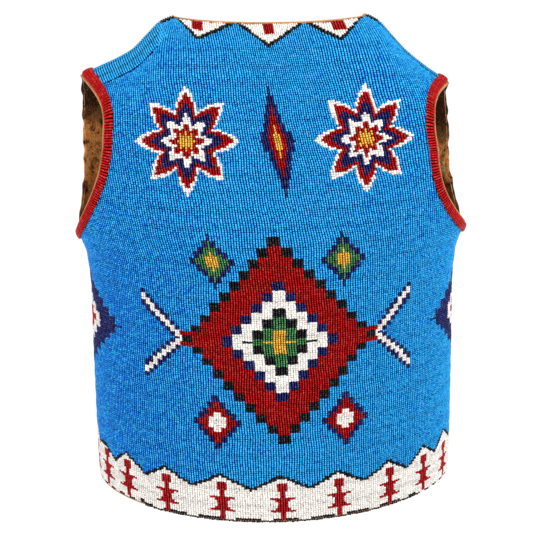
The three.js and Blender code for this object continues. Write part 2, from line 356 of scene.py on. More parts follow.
# The field is worked out finely above one height, ends at another and is widest at a third
FINE_HEIGHT = -100
TOP_HEIGHT = 18
WIDEST_HEIGHT = -120
TURN_SAMPLES = 361
SHORTEST_BEAD = 0.3


def some(table, kept):
    return type(table)(*(values[kept] for values in table))


def chained(tables):
    return type(tables[0])(*(np.concatenate(values) for values in zip(*tables)))


def column_lean(half, share, z):
    """How far a column has strayed sideways: strings lean as they climb, and waver a little."""
    waver = 0
    for depth, length, shift in WAVERS[half]:
        waver = waver + depth * np.sin(2 * np.pi * (z / length + shift * share))
    if half == "front":
        return waver
    climb = z - LEAN_HEIGHT
    eased = np.clip(climb, 0, LEAN_EASE) ** 2 / (2 * LEAN_EASE)
    ramp = np.where(climb > LEAN_EASE, climb - LEAN_EASE / 2, eased)
    lean = LEAN + MORE_LEAN * np.exp(-(((share - MORE_LEAN_PLACE) / MORE_LEAN_SPREAD) ** 2))
    low_lean = LOW_LEAN * (1 - share ** 2) * climb
    return -lean * ramp - low_lean + waver * (1 - share ** 8) * np.clip((z - WAVER_HEIGHT) / WAVER_EASE, 0, 1)


def lay_field(half, settings):
    """Every bead place in the columns of a half, before its edges are cut."""
    low, high = np.arange(HEM_HEIGHT - 2, FINE_HEIGHT, 1.0), np.arange(FINE_HEIGHT, TOP_HEIGHT, 0.25)
    heights = np.concatenate([low, high])
    turns = np.linspace(-QUARTER_TURN, QUARTER_TURN, TURN_SAMPLES)
    grid = surface_at(half, turns[None, :], heights[:, None])
    steps = lengths(np.diff(grid, axis=1))
    run = np.concatenate([np.zeros((len(heights), 1)), np.cumsum(steps, axis=1)], axis=1)
    run -= run[:, len(turns) // 2][:, None]
    reach = run[:, -1].copy()
    reach[heights > WIDEST_HEIGHT] = reach[np.searchsorted(heights, WIDEST_HEIGHT)]
    share = (np.arange(settings.columns) + 0.5) / settings.columns * 2 - 1
    goal = share[None, :] * reach[:, None] + column_lean(half, share[None, :], heights[:, None])
    turn = np.stack([np.interp(goal[i], run[i], turns) for i in range(len(heights))])
    path = surface_at(half, turn, heights[:, None])
    climbed = np.cumsum(lengths(np.diff(path, axis=0)), axis=0)
    climbed = np.concatenate([np.zeros((1, settings.columns)), climbed])
    apart = lengths(np.diff(path, axis=1))
    width = np.concatenate([apart[:, :1], apart], axis=1) + np.concatenate([apart, apart[:, -1:]], axis=1)
    pitch = settings.row_pitch / MM
    count = int(climbed[-1].max() / pitch)
    stagger = np.random.default_rng(5).uniform(0, 1, settings.columns)
    parts = []
    for c in range(settings.columns):
        bare = settings.hem_margin / MM + BARE_HEM_LEFT * (turn[0, c] < -BARE_HEM_TURN)
        start = np.interp(hem_height(turn[0, c]), heights, climbed[:, c]) + bare
        start += pitch * settings.stagger * stagger[c]
        ends = start + np.arange(count + 1) * pitch
        middles = ends[:-1] + pitch / 2
        z_ends = np.interp(ends, climbed[:, c], heights)
        z = np.interp(middles, climbed[:, c], heights)
        turn_here = np.interp(z, heights, turn[:, c])
        tips = np.diff(surface_at(half, np.interp(z_ends, heights, turn[:, c]), z_ends), axis=0)
        parts.append(Field(
            column=np.full(count, c),
            row=np.arange(count),
            turn=turn_here,
            wrap=wrap_at(turn_here, z),
            run=np.interp(z, heights, goal[:, c]),
            reach=np.interp(z, heights, reach),
            rise=middles - start,
            centre=surface_at(half, turn_here, z),
            along=unit(tips),
            width=np.interp(z, heights, width[:, c] / 2),
            length=lengths(tips),
        ))
    field = chained(parts)
    x, z = field.centre[:, 0], field.centre[:, 2]
    inside = (z < crest_height(x) - 1) & (field.length > SHORTEST_BEAD * pitch)
    return some(field, inside & (np.abs(field.run) < field.reach - 0.5))


# Beyond these distances no place can be too near to an armhole or the neck
NEAR_UNDERARM = 30
NEAR_ARMHOLE = 90
NEAR_NECK = 10


def on_panel(half, turn, centre, armhole_clear, edge_clear):
    """Which places of a half lie on its hide, clear of the armholes, the neck and the front edges."""
    x, z = centre[:, 0], centre[:, 2]
    kept = z > hem_height(turn)
    for side, sign in BODY_SIDE.items():
        kept &= (z < UNDERARM_HEIGHT) | (sign * turn < np.abs(armhole_turn(side, half, z)))
        near = np.flatnonzero(kept & (z > UNDERARM_HEIGHT - NEAR_UNDERARM) & (sign * x > NEAR_ARMHOLE))
        gaps, _ = gap_to_line(centre[near], armhole_loop(side))
        kept[near[gaps < armhole_clear]] = False
    if half == "back":
        kept &= (np.abs(x) > NECK_HALF_WIDTH) | (z < back_neck_height(x))
    else:
        neck_x, neck_z = front_neck_path(EDGE_SAMPLES)
        kept &= (np.abs(x) > NECK_HALF_WIDTH) | (z < np.interp(np.abs(x), neck_x, neck_z))
        kept &= np.abs(x) > front_gap_edge(z) + edge_clear
    high = np.flatnonzero(kept & (z > FRONT_NECK_HEIGHT - NEAR_NECK))
    gaps, _ = gap_to_line(centre[high], point_at(half, *neck_line(half)))
    kept[high[gaps < edge_clear]] = False
    return kept


def cut_to_panel(half, field, settings):
    """Keeps the beads between the hem, the side seams, the armholes, the neck and the shoulder lanes."""
    x, z = field.centre[:, 0], field.centre[:, 2]
    binding_end = BINDING_INSET + BINDING_WIDTH - settings.tuck / MM
    margin = settings.edge_margin / MM + settings.row_pitch / MM / 2
    kept = on_panel(half, field.turn, field.centre, binding_end, margin)
    for side in BODY_SIDE:
        rows, gap = SHOULDER_LANES[side, half]
        if half == "back":
            rows = np.where(np.abs(x) < NECK_HALF_WIDTH + CORNER_REACH, CORNER_ROWS, rows)
        down, beside = shoulder_drop(side, x, z)
        covered = drop_of((rows + 0.5) * settings.row_pitch / MM + gap)
        kept &= ~((down < covered) & beside)
    return some(field, kept)


def armhole_loop(side):
    back = point_at("back", *armhole_places(side, "back", EDGE_SAMPLES))
    front = point_at("front", *armhole_places(side, "front", EDGE_SAMPLES))
    return np.concatenate([back, front[::-1]])


# Strings that run straight down from the shoulder seams: how many beads long they are, and how
# wide the bare line under them is, in millimetres
Lanes = namedtuple("Lanes", "rows gap")
SHOULDER_LANES = {
    ("left", "back"): Lanes(22, 0.5),
    ("right", "back"): Lanes(9, 2.2),
    ("left", "front"): Lanes(16, 0.9),
    ("right", "front"): Lanes(16, 0.9),
}
CORNER_REACH = 13.0
CORNER_ROWS = 9
SHOULDER_CHORD = {"left": (95.0, 0.0, 189.0, -57.0), "right": (95.0, 0.0, 181.0, -68.5)}
SEAM_START = 80
SEAM_END = 215
SEAM_SAMPLES = 500
ARMHOLE_TIP_HEIGHT = -60
LEAST_WRAP = 0.05


def shoulder_axes(side):
    """Unit ways along a shoulder seam, outward, and square to it, upward, as seen from behind."""
    x0, z0, x1, z1 = SHOULDER_CHORD[side]
    length = math.hypot(x1 - x0, z1 - z0)
    along = np.array([BODY_SIDE[side] * (x1 - x0), z1 - z0]) / length
    square = np.array([-along[1] * BODY_SIDE[side], along[0] * BODY_SIDE[side]])
    return along, square


def shoulder_seam(side):
    """The seam's points seen from behind, with their ways along and square to its chord."""
    x = BODY_SIDE[side] * np.linspace(SEAM_START, SEAM_END, SEAM_SAMPLES)
    z = crest_height(x)
    along, square = shoulder_axes(side)
    return x, z, x * along[0] + z * along[1], x * square[0] + z * square[1]


def shoulder_drop(side, x, z):
    """How far points lie below a shoulder seam, square to it, and whether they lie beside it."""
    along, square = shoulder_axes(side)
    _, _, seam_along, seam_square = shoulder_seam(side)
    here = x * along[0] + z * along[1]
    corner = BODY_SIDE[side] * NECK_HALF_WIDTH * along[0]
    down = np.interp(here, seam_along, seam_square) - (x * square[0] + z * square[1])
    return down, (here > corner) & (BODY_SIDE[side] * x > 0)


def lay_shoulder_lanes(side, half, settings):
    """Strings of beads from a shoulder seam down the panel, side by side along the seam."""
    along, square = shoulder_axes(side)
    seam_x, seam_z, seam_along, _ = shoulder_seam(side)
    pitch = settings.row_pitch / MM
    string_pitch = settings.string_pitch / MM
    rows = SHOULDER_LANES[side, half].rows
    run = np.concatenate([[0], np.cumsum(np.hypot(np.diff(seam_x), np.diff(seam_z)))])
    first = np.interp(BODY_SIDE[side] * NECK_HALF_WIDTH * along[0], seam_along, run)
    strings = np.arange(int((run[-1] - first) / string_pitch))
    string, row = np.meshgrid(strings, np.arange(rows), indexing="ij")
    string, row = string.ravel(), row.ravel()
    start = first + (string + 0.5) * string_pitch

    def spots(way_down):
        drop = drop_of(way_down)
        x = np.interp(start, run, seam_x) - square[0] * drop
        z = np.interp(start, run, seam_z) - square[1] * drop
        turn = turn_at(x, z)
        return turn, np.maximum(wrap_at(turn, z), LEAST_WRAP)

    way = SEAM_GAP + (row + 0.5) * pitch
    turn, wrap = spots(way)
    top = point_at(half, *spots(way - pitch / 2))
    bottom = point_at(half, *spots(way + pitch / 2))
    centre = point_at(half, turn, wrap)
    gaps, _ = gap_to_line(centre, armhole_loop(side))
    neck_gap, _ = gap_to_line(centre, point_at(half, *neck_line(half)))
    height = np.minimum(centre[:, 2], ARMHOLE_TIP_HEIGHT)
    edge = BODY_SIDE[side] * turn < np.abs(armhole_turn(side, half, height))
    kept = (gaps > BINDING_INSET + BINDING_WIDTH) & edge & (neck_gap > settings.edge_margin / MM)
    shade = np.full(len(row), SKY)
    if half == "back":
        corner = np.abs(np.interp(start, run, seam_x)) < NECK_HALF_WIDTH + CORNER_REACH
        kept &= ~corner | (row < CORNER_ROWS)
        shade[corner & (row < CORNER_ROWS - string % 2)] = BLACK
    beads = Beads(
        centre=centre,
        along=unit(bottom - top),
        out=outward_at(half, turn, wrap),
        width=np.full(len(row), string_pitch),
        length=lengths(bottom - top),
        shade=shade,
        chart=np.stack([start - first, way], axis=1),
        tone=np.ones(len(row)),
    )
    return some(beads, kept), row[kept]


# --- Patterns: which colour each bead place takes ----------------------------------------------

ZIGZAG_PEAK = 47.7
ZIGZAG_VALLEY = 34.2
ZIGZAG_PITCH = 57.0
ZIGZAG_LINE = 0.8
BARE_HEM_TURN = math.radians(46.5)
HEM_LINE_TURN = math.radians(48)
BARE_HEM_LEFT = 2.8
LEFT_RISE = (15.0, 8.5, -2.5)
RIGHT_RISE = (0.0, 2.5, 3.0, 6.5, 5.0, 6.0)
HEM_ROWS = 27

# Where the hem band's peaks stand round the back, in degrees from its middle
BACK_PEAKS = (-84.0, -68.4, -54.7, -37.3, -18.3, -0.4, 16.8, 35.0, 51.7, 67.6, 86.5)

# The small red figure under each peak: from row to row above the hem, and how many columns it
# reaches to the left and to the right of the peak's own
Bar = namedtuple("Bar", "low high left right")
HEM_FIGURE = (
    Bar(1, 4, 0, 1), Bar(5, 5, 4, 5), Bar(6, 6, 2, 3), Bar(7, 9, 1, 2),
    Bar(10, 10, 2, 3), Bar(11, 11, 4, 5), Bar(12, 14, 0, 1), Bar(15, 18, 1, 2),
)

# Teeth hanging from the neck: where each starts, has its point and ends, and how far down it hangs
Tooth = namedtuple("Tooth", "start point end depth")
BACK_TEETH = (Tooth(-95, -72, -35, 20.5), Tooth(-35, -5.5, 29, 23), Tooth(29, 63, 91, 21))
FRONT_TEETH = (Tooth(2, 24, 50, 20), Tooth(50, 78, 106, 20), Tooth(106, 134, 162, 20))
TOOTH_OUTLINE = 2.0
TOOTH_SQUARE = 10.5
TOOTH_SQUARE_START = 1.4
TOOTH_SQUARE_REACH = 2
TOOTH_ROOM = 30
SAME_COLUMN = 3


def hem_peaks(half, field):
    """The columns in which the hem band's zigzag has its peaks, and their runs."""
    low = field.row == HEM_ROWS // 2
    if half == "front":
        right = FRONT_GAP_AT_HEM / 2 + ZIGZAG_PITCH * (np.arange(5) + 0.5)
        runs = np.concatenate([-right[::-1], right])
    else:
        order = np.argsort(field.turn[low])
        runs = np.interp(np.radians(BACK_PEAKS), field.turn[low][order], field.run[low][order])
    nearest = np.abs(field.run[low][None] - runs[:, None]).argmin(axis=1)
    return field.column[low][nearest], field.run[low][nearest]


def paint_hem_band(half, field, shade):
    columns, runs = hem_peaks(half, field)
    marks = np.sort(np.concatenate([runs, (runs[1:] + runs[:-1]) / 2]))
    tops = np.where(np.isin(marks, runs), ZIGZAG_PEAK, ZIGZAG_VALLEY)
    if half == "back":
        tops[:len(LEFT_RISE)] += LEFT_RISE
        tops[-len(RIGHT_RISE):] += RIGHT_RISE
    edge = np.interp(field.run, marks, tops)
    pitch = field.length.mean()
    shade[field.rise < ZIGZAG_PEAK + 2 * pitch] = SKY
    shade[field.rise < edge] = WHITE
    shade[np.abs(field.rise - edge) < ZIGZAG_LINE * pitch] = BLACK
    apart = field.column[:, None] - columns[None]
    across = apart[np.arange(len(apart)), np.abs(apart).argmin(axis=1)]
    for bar in HEM_FIGURE:
        rows = (field.row >= bar.low) & (field.row <= bar.high)
        shade[rows & (across >= -bar.left) & (across <= bar.right)] = MAROON
    beside = np.abs(field.turn) > HEM_LINE_TURN
    twice = (field.row == 1) & (np.abs(field.turn) < HEM_LINE_TURN) & (field.column // 5 % 3 > 0)
    shade[(field.row == 0) | (twice & (shade == WHITE))] = BLACK
    shade[(field.row == 0) & beside & (field.column // 3 % 2 == 0)] = WHITE


def neck_depth(half, field):
    """Where along the neck each bead hangs, and how far down the form from its edge."""
    if half == "back":
        x = field.centre[:, 0]
        return x, field.wrap - wrap_at(field.turn, back_neck_height(x))
    line = point_at(half, *neck_line(half))
    depth, nearest = gap_to_line(field.centre, line)
    from_corner = np.cumsum(lengths(np.diff(line, axis=0, prepend=line[:1])))
    return np.minimum(from_corner, from_corner[-1] - from_corner)[nearest], depth


def middle_columns(field, among, place, goal):
    """The column nearest to a goal on each side of the body, or on the only side that has one."""
    columns = []
    for side in (field.run < 0, field.run >= 0):
        beads = np.flatnonzero(among & side)
        if len(beads) and np.abs(place[beads] - goal).min() < SAME_COLUMN:
            columns.append(field.column[beads[np.abs(place[beads] - goal).argmin()]])
    return columns[:1] if place.min() < 0 else columns


def paint_neck_teeth(half, field, shade):
    place, depth = neck_depth(half, field)
    near = (np.abs(field.centre[:, 0]) < NECK_HALF_WIDTH - 1) & (depth < TOOTH_ROOM)
    for tooth in BACK_TEETH if half == "back" else FRONT_TEETH:
        edge = np.interp(place, (tooth.start, tooth.point, tooth.end), (0, tooth.depth, 0))
        over = near & (place > tooth.start) & (place < tooth.end)
        shade[over & (depth < edge)] = WHITE
        shade[over & (np.abs(depth - edge) < TOOTH_OUTLINE)] = BLACK
        deep = over & (depth > TOOTH_SQUARE_START) & (depth < TOOTH_SQUARE_START + TOOTH_SQUARE)
        for column in middle_columns(field, deep, place, tooth.point):
            shade[deep & (np.abs(field.column - column) <= TOOTH_SQUARE_REACH)] = RED


# Rings of colour, and up to which level each runs, from a motif's middle at 0 to its edge at 1
Rings = namedtuple("Rings", "limits colours")
STAR_RINGS = Rings((0.2, 0.34, 0.5, 0.7, 0.88, 1.0), (YELLOW, RED, WHITE, NAVY, RED, WHITE))
SLIM_RINGS = Rings((0.3, 0.65, 1.0), (YELLOW, RED, NAVY))
WIDE_COLOURS = (YELLOW, GREEN, BLACK, WHITE, NAVY, RED, BLACK)
BACK_RINGS = Rings((0.12, 0.24, 0.33, 0.5, 0.58, 0.92, 1.0), WIDE_COLOURS)
FRONT_RINGS = Rings((0.14, 0.28, 0.38, 0.56, 0.66, 0.9, 1.0), WIDE_COLOURS)
UPPER_RINGS = Rings((0.4, 0.75, 1.0), (YELLOW, GREEN, NAVY))
LOWER_RINGS = Rings((0.4, 0.75, 1.0), (WHITE, RED, NAVY))
SIDE_RINGS = Rings((0.2, 0.42, 0.62, 1.0), (YELLOW, RED, WHITE, NAVY))

# Motifs stand as far out on the right as on the left; a step is how far an edge runs before it climbs
Star = namedtuple("Star", "out height radius")
STAR_WAIST = 0.56
STAR_POINT = 0.44
STARS = {"back": Star(84, -116, 50), "front": Star(96, -178, 40)}
Diamond = namedtuple("Diamond", "out height half_width half_height step rings")
DIAMONDS = {
    "back": (
        Diamond(0, -116, 15, 52, 2.45, SLIM_RINGS),
        Diamond(0, -304, 92, 100, 9.8, BACK_RINGS),
        Diamond(62, -226, 22, 26, 4.9, UPPER_RINGS),
        Diamond(62, -382, 22, 26, 4.9, LOWER_RINGS),
    ),
    "front": (Diamond(112, -322, 56, 84, 9.8, FRONT_RINGS),),
}
SIDE_DIAMOND = Diamond(0, -298, 80, 60, 9.8, SIDE_RINGS)

# The wide diamond's arms: a straight bar from behind it, then a fork that climbs both ways in steps
Arm = namedtuple("Arm", "start end half_height core colour")
ARM = Arm(0, 100, 7.5, 2.3, RED)
FORK = Arm(96, 134, 8, 3.3, NAVY)
FORK_ROOT = 94
FORK_STEP = 4.9
FORK_SLOPE = 0.9


def star_level(run, z, radius):
    """How far out each place is in an eight-pointed star: up to 1, or 9 outside it."""
    turn = np.arctan2(z, run) % (np.pi / 4)
    point = np.abs(turn / (np.pi / 8) - 1)
    reach = radius * (STAR_WAIST + STAR_POINT * point)
    return np.where(np.hypot(run, z) < reach, np.hypot(run, z) / reach, 9)


def stepped_level(run, z, diamond):
    """How far out each place is in a diamond whose edges climb in steps."""
    stairs = np.floor(np.abs(run) / diamond.step + 0.5) * diamond.step
    return stairs / diamond.half_width + np.abs(z) / diamond.half_height


def paint_rings(level, rings, shade):
    """Colours places by level: the first limit that is above a place's level names its colour."""
    index = np.searchsorted(rings.limits, level)
    inside = index < len(rings.colours)
    shade[inside] = np.array(rings.colours)[index[inside]]


def counted(field, run, z):
    """Places counted in whole columns and rows from the bead nearest to a place, in millimetres."""
    middle = np.hypot(field.run - run, field.centre[:, 2] - z).argmin()
    across = (field.column - field.column[middle]) * field.width[middle]
    return across, (field.row - field.row[middle]) * field.length[middle]


def paint_arms(field, shade):
    run, up = counted(field, 0, DIAMONDS["back"][1].height)
    out, up = np.abs(run), np.abs(up)
    stairs = np.floor((out - FORK_ROOT) / FORK_STEP + 0.5) * FORK_STEP
    for arm, off in ((ARM, up), (FORK, np.abs(up - FORK_SLOPE * stairs))):
        inside = (out < arm.end) & ((out > arm.start) | (arm.start == 0))
        shade[inside & (off < arm.half_height)] = arm.colour
        shade[inside & (off < arm.core)] = WHITE


def paint(half, field):
    """The colour of every bead in the columns of a half."""
    shade = np.full(len(field.row), SKY)
    z = field.centre[:, 2]
    star = STARS[half]
    for out in (-star.out, star.out):
        paint_rings(star_level(field.run - out, z - star.height, star.radius), STAR_RINGS, shade)
    if half == "back":
        paint_arms(field, shade)
    for diamond in DIAMONDS[half]:
        for out in sorted({-diamond.out, diamond.out}):
            places = counted(field, out, diamond.height)
            paint_rings(stepped_level(*places, diamond), diamond.rings, shade)
    from_seam = field.reach - np.abs(field.run)
    level = stepped_level(from_seam, z - SIDE_DIAMOND.height, SIDE_DIAMOND)
    paint_rings(level, SIDE_DIAMOND.rings, shade)
    paint_neck_teeth(half, field, shade)
    paint_hem_band(half, field, shade)
    return shade


# The share of deeper blue beads: some at random in the middle as a second hank, and what is added towards
# each side and low on the left as painted shade on the flanks
DEEP_ON_FRONTS = 0.3
DEEP_MIDDLE = 0.04
DEEP_LEFT = 0.3
DEEP_LOW_LEFT = 0.4
DEEP_RIGHT = 0.14
DEEP_START = 40
DEEP_EASE = 120
DEEP_LOW_START = -180
DEEP_LOW_EASE = 60


def deep_share(half, field):
    """How many of the sky beads are deeper blue: a few at random from a second hank, more towards the sides,
    most on the left low down, as painted shade.
    """
    if half == "front":
        return np.full(len(field.row), DEEP_ON_FRONTS)
    left = np.clip((-field.run - DEEP_START) / DEEP_EASE, 0, 1)
    right = np.clip((field.run - DEEP_START) / DEEP_EASE, 0, 1)
    low = np.clip((DEEP_LOW_START - field.centre[:, 2]) / DEEP_LOW_EASE, 0, 1)
    return DEEP_MIDDLE + left * (DEEP_LEFT + DEEP_LOW_LEFT * low) + DEEP_RIGHT * right


# --- Meshes ------------------------------------------------------------------------------------


def points_and_faces(bm):
    """A small mesh's points, and its faces as rows of their numbers."""
    bm.verts.ensure_lookup_table()
    points = np.array([vert.co for vert in bm.verts])
    faces = np.array([[vert.index for vert in face.verts] for face in bm.faces])
    bm.free()
    return points, faces


def mesh_from(bm, name):
    mesh = bpy.data.meshes.new(name)
    bm.to_mesh(mesh)
    bm.free()
    return mesh


def add_piece(name, mesh, materials):
    """Puts a mesh in the scene as a piece of the vest's body."""
    for material in materials:
        mesh.materials.append(material)
    piece = bpy.data.objects.new(name, mesh)
    bpy.context.scene.collection.objects.link(piece)
    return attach(piece, BODY)


def bead_form(crown_width, crown_length):
    """One bead as seen over its hide: a block with no floor, its top drawn in to a crown."""
    bm = bmesh.new()
    bmesh.ops.create_cube(bm, size=1)
    floor = [face for face in bm.faces if face.normal.z < -0.5]
    bmesh.ops.delete(bm, geom=floor, context="FACES_ONLY")
    top = [vert for vert in bm.verts if vert.co.z > 0]
    bmesh.ops.scale(bm, vec=(crown_width, crown_length, 1), verts=top)
    bmesh.ops.translate(bm, vec=(0, 0, 0.5), verts=bm.verts)
    return points_and_faces(bm)


def uneven(beads, row, settings, rng, hump, dimming):
    """Sets the beads a little out of true, with the hump that each lane of them has, and paints shade on the
    beads at each lane's ends.
    """
    count = len(beads.shade)
    row_in_lane = row % settings.lane_rows
    phase = (row_in_lane + 0.5) / settings.lane_rows
    lift = hump * (np.sin(np.pi * phase) - 1)
    slope = hump * np.pi * np.cos(np.pi * phase) / (settings.lane_rows * settings.row_pitch / MM)
    across = np.cross(beads.along, beads.out)
    jitter = rng.normal(0, 1, (count, 4))
    sway = settings.unevenness / MM
    lean = slope + settings.tilt * jitter[:, 0]
    out = unit(beads.out - beads.along * lean[:, None] + across * (settings.tilt * jitter[:, 1])[:, None])
    along = unit(beads.along - out * dot(beads.along, out)[:, None])
    stray = beads.along * (sway * jitter[:, 2])[:, None] + across * (0.5 * sway * jitter[:, 3])[:, None]
    # Painted shade: the beads at each lane's ends are darkened where the lane dips to its stitches
    at_end = (row_in_lane == 0) | (row_in_lane == settings.lane_rows - 1)
    return beads._replace(
        centre=beads.centre + beads.out * lift[:, None] + stray,
        along=along,
        out=out,
        tone=beads.tone * np.where(at_end, 1 - dimming, 1),
    )


def joined_copies(name, faces, places, tints, chart, material):
    """One mesh of many copies: their corners' places in millimetres, tints and places on a chart."""
    count, points = places.shape[:2]
    corners = (faces[None] + (np.arange(count) * points)[:, None, None]).reshape(-1, faces.shape[1])
    mesh = bpy.data.meshes.new(name)
    mesh.vertices.add(count * points)
    mesh.vertices.foreach_set("co", (places * MM).astype(np.float32).ravel())
    mesh.loops.add(corners.size)
    mesh.loops.foreach_set("vertex_index", corners.astype(np.int32).ravel())
    mesh.polygons.add(len(corners))
    mesh.polygons.foreach_set("loop_start", np.arange(0, corners.size, corners.shape[1], dtype=np.int32))
    mesh.update(calc_edges=True)
    mesh.shade_smooth()
    for tint, values in tints.items():
        rgba = np.ones((count, points, 4), np.float32)
        rgba[:, :, :values.shape[-1]] = values
        mesh.color_attributes.new(tint, "FLOAT_COLOR", "POINT").data.foreach_set("color", rgba.ravel())
    chart = chart.reshape(-1, 2)
    low = chart.min(axis=0)
    uv = ((chart - low) / (chart - low).max())[corners.ravel()]
    mesh.uv_layers.new(name=BAKE_MAP).data.foreach_set("uv", uv.astype(np.float32).ravel())
    return add_piece(name, mesh, (material,))


def bead_mesh(name, beads, crown, settings, glass, rng):
    """A piece's beads, each with a crown of its own tone, some painted paler as sparkle, over sides in
    painted shade.
    """
    points, faces = bead_form(*crown)
    count = len(beads.shade)
    size = settings.overlap * (1 + settings.size_variation * rng.normal(0, 1, (count, 1)))
    height = settings.bead_height / MM
    scale = np.concatenate([beads.width[:, None], beads.length[:, None], np.full((count, 1), height)], axis=1)
    scale[:, :2] *= size
    local = points[None] * scale[:, None]
    local[:, :, 2] += settings.bead_top / MM - height
    frames = np.stack([np.cross(beads.along, beads.out), beads.along, beads.out], axis=1)
    places = beads.centre[:, None, :] + np.einsum("bvk,bkx->bvx", local, frames)
    tone = np.clip(1 + settings.tone_variation * rng.normal(0, 1, (count, 1)), 0.5, 1.6)
    base = bead_colours()[beads.shade]
    # Painted sparkle: some crowns, at random, painted paler towards their colour's square root
    glow = settings.glow * np.clip(rng.normal(0, 1, (count, 1)), 0, 2)
    lit = (base * tone + glow * (np.sqrt(base) - base)) * beads.tone[:, None]
    # Painted shade: the valleys between beads take the colour deepened and darkened
    deep = VALLEY_SHADE_KEEP[beads.shade][:, None] * base ** settings.valley_shade_depth * beads.tone[:, None]
    height_share = np.broadcast_to(points[None, :, 2:], (count, len(points), 1))
    crowns = np.concatenate([np.repeat(lit[:, None], len(points), axis=1), height_share], axis=2)
    tints = {COLOUR: crowns, VALLEY_SHADE: deep[:, None]}
    chart = beads.chart[:, None, :] + local[:, :, :2]
    material = shared_material(glass, glass_bead_material, settings)
    return joined_copies(name, faces, places, tints, chart, material)


def swept_band(name, rings_of_points, closed, materials):
    """A strip swept through rings of points, capped at its ends if it doesn't close on itself.

    The first material is for the back of the body and the last for its front.
    """
    bm = bmesh.new()
    loops = []
    for ring in rings_of_points:
        verts = [bm.verts.new(Vector(point) * MM) for point in ring]
        loops.append([bm.edges.new((verts[i - 1], verts[i])) for i in range(len(verts))])
    pairs = list(zip(loops, loops[1:]))
    if closed:
        pairs.append((loops[-1], loops[0]))
    for first, second in pairs:
        bmesh.ops.bridge_loops(bm, edges=first + second)
    if not closed:
        for loop in (loops[0], loops[-1]):
            bmesh.ops.contextual_create(bm, geom=loop)
    bmesh.ops.recalc_face_normals(bm, faces=bm.faces)
    for face in bm.faces:
        face.smooth = True
        face.material_index = len(materials) - 1 if face.calc_center_median().y > 0 else 0
    return add_piece(name, mesh_from(bm, name), materials)


# --- Materials ---------------------------------------------------------------------------------

# Painted shade on the hide's inside: how dark it is painted at the shoulders and under the arms, further on
# the right
InsideShade = namedtuple("InsideShade", "height darkness")
INSIDE_SHADE = {
    "left": [InsideShade(*row) for row in (
        (-484, 0.1), (-260, 0.1), (-205, 0.8), (-176, 0.4), (-155, 0.05), (-116, 0),
        (-100, 0.75), (-86, 1), (0, 1),
    )],
    "right": [InsideShade(*row) for row in (
        (-484, 0.1), (-260, 0.1), (-222, 0.85), (-182, 0.9), (-166, 0.3), (-144, 0.2),
        (-126, 0.85), (-108, 1), (0, 1),
    )],
}
INSIDE_SHADE_BLEND = 0.01
# The darkest colour of the painted shade on the hide's face between the beads
PAINTED_SHADE_DARK = (0.006, 0.006, 0.008)


def inside_shade_at(x, z):
    left, right = (np.interp(z, *zip(*rows)) for rows in INSIDE_SHADE.values())
    return np.where(x < 0, left, right)


class Shading:
    """A material in the making: short ways to add its nodes, each by what goes into it."""

    def __init__(self, name):
        self.material = bpy.data.materials.new(name)
        self.material.use_nodes = True
        self.tree = self.material.node_tree

    def fill(self, node, inputs):
        for key, value in inputs.items():
            if isinstance(value, bpy.types.NodeSocket):
                self.tree.links.new(value, node.inputs[key])
            else:
                node.inputs[key].default_value = value

    def add(self, kind, inputs=None, **choices):
        node = self.tree.nodes.new(f"ShaderNode{kind}")
        for key, value in choices.items():
            setattr(node, key, value)
        self.fill(node, inputs or {})
        return node

    def surface(self, inputs):
        self.fill(self.tree.nodes["Principled BSDF"], inputs)
        return self.material

    def place(self):
        return self.add("TexCoord").outputs["Object"]

    def noise(self, scale, detail=2, roughness=0.5, distortion=0):
        inputs = {"Scale": scale, "Detail": detail, "Roughness": roughness, "Distortion": distortion}
        return self.add("TexNoise", {"Vector": self.place(), **inputs}).outputs["Fac"]

    def remap(self, value, low, high, to_low=0, to_high=1, interpolation="LINEAR"):
        inputs = {"Value": value, "From Min": low, "From Max": high, "To Min": to_low, "To Max": to_high}
        return self.add("MapRange", inputs, interpolation_type=interpolation).outputs["Result"]

    def mix(self, share, first, second, blend="MIX"):
        inputs = {0: share, 6: first, 7: second}
        return self.add("Mix", inputs, data_type="RGBA", blend_type=blend).outputs[2]

    def ramp(self, share, stops, interpolation="LINEAR"):
        node = self.add("ValToRGB", {"Fac": share})
        elements = node.color_ramp.elements
        while len(elements) < len(stops):
            elements.new(0.5)
        for element, (position, colour) in zip(elements, stops):
            element.position = position
            element.color = (*colour, 1)
        node.color_ramp.interpolation = interpolation
        return node.outputs["Color"]

    def bump(self, height, distance, strength, under=None):
        inputs = {"Height": height, "Distance": distance, "Strength": strength}
        if under:
            inputs["Normal"] = under
        return self.add("Bump", inputs).outputs["Normal"]


def unshaded_share(shading):
    """How much of the suede's own colour is left at each place under the painted shade."""
    place = shading.add("SeparateXYZ", {"Vector": shading.place()}).outputs
    ramps = []
    for rows in INSIDE_SHADE.values():
        low, high = rows[0].height, rows[-1].height
        stops = [((row.height - low) / (high - low), (1 - row.darkness,) * 3) for row in rows]
        ramps.append(shading.ramp(shading.remap(place["Z"], low * MM, high * MM), stops, "EASE"))
    return shading.mix(shading.remap(place["X"], -INSIDE_SHADE_BLEND, INSIDE_SHADE_BLEND), *ramps)


def glass_bead_material(name, settings):
    """Glass beads: each crown's own colour with a painted highlight on top, over valleys in painted shade,
    with a slightly uneven gloss.
    """
    shading = Shading(name)
    crown = shading.add("Attribute", attribute_name=COLOUR).outputs
    valley = shading.add("Attribute", attribute_name=VALLEY_SHADE).outputs["Color"]
    # Painted shade low on each bead's sides, below the crown's own colour
    start, end = settings.crown_start, settings.valley_shade_end
    side = shading.remap(crown["Alpha"], end, start, interpolation="SMOOTHSTEP")
    # Painted highlight: the top of every crown is mixed towards a paler colour
    top = shading.remap(crown["Alpha"], start, 1, 0, settings.glint, "SMOOTHSTEP")
    paler = shading.add("Gamma", {"Color": crown["Color"], "Gamma": 0.5}).outputs["Color"]
    return shading.surface({
        "Base Color": shading.mix(top, shading.mix(side, valley, crown["Color"]), paler),
        "Roughness": shading.remap(shading.noise(420, 1), 0, 1, settings.gloss_low, settings.gloss_high),
        "Specular IOR Level": settings.gloss,
    })


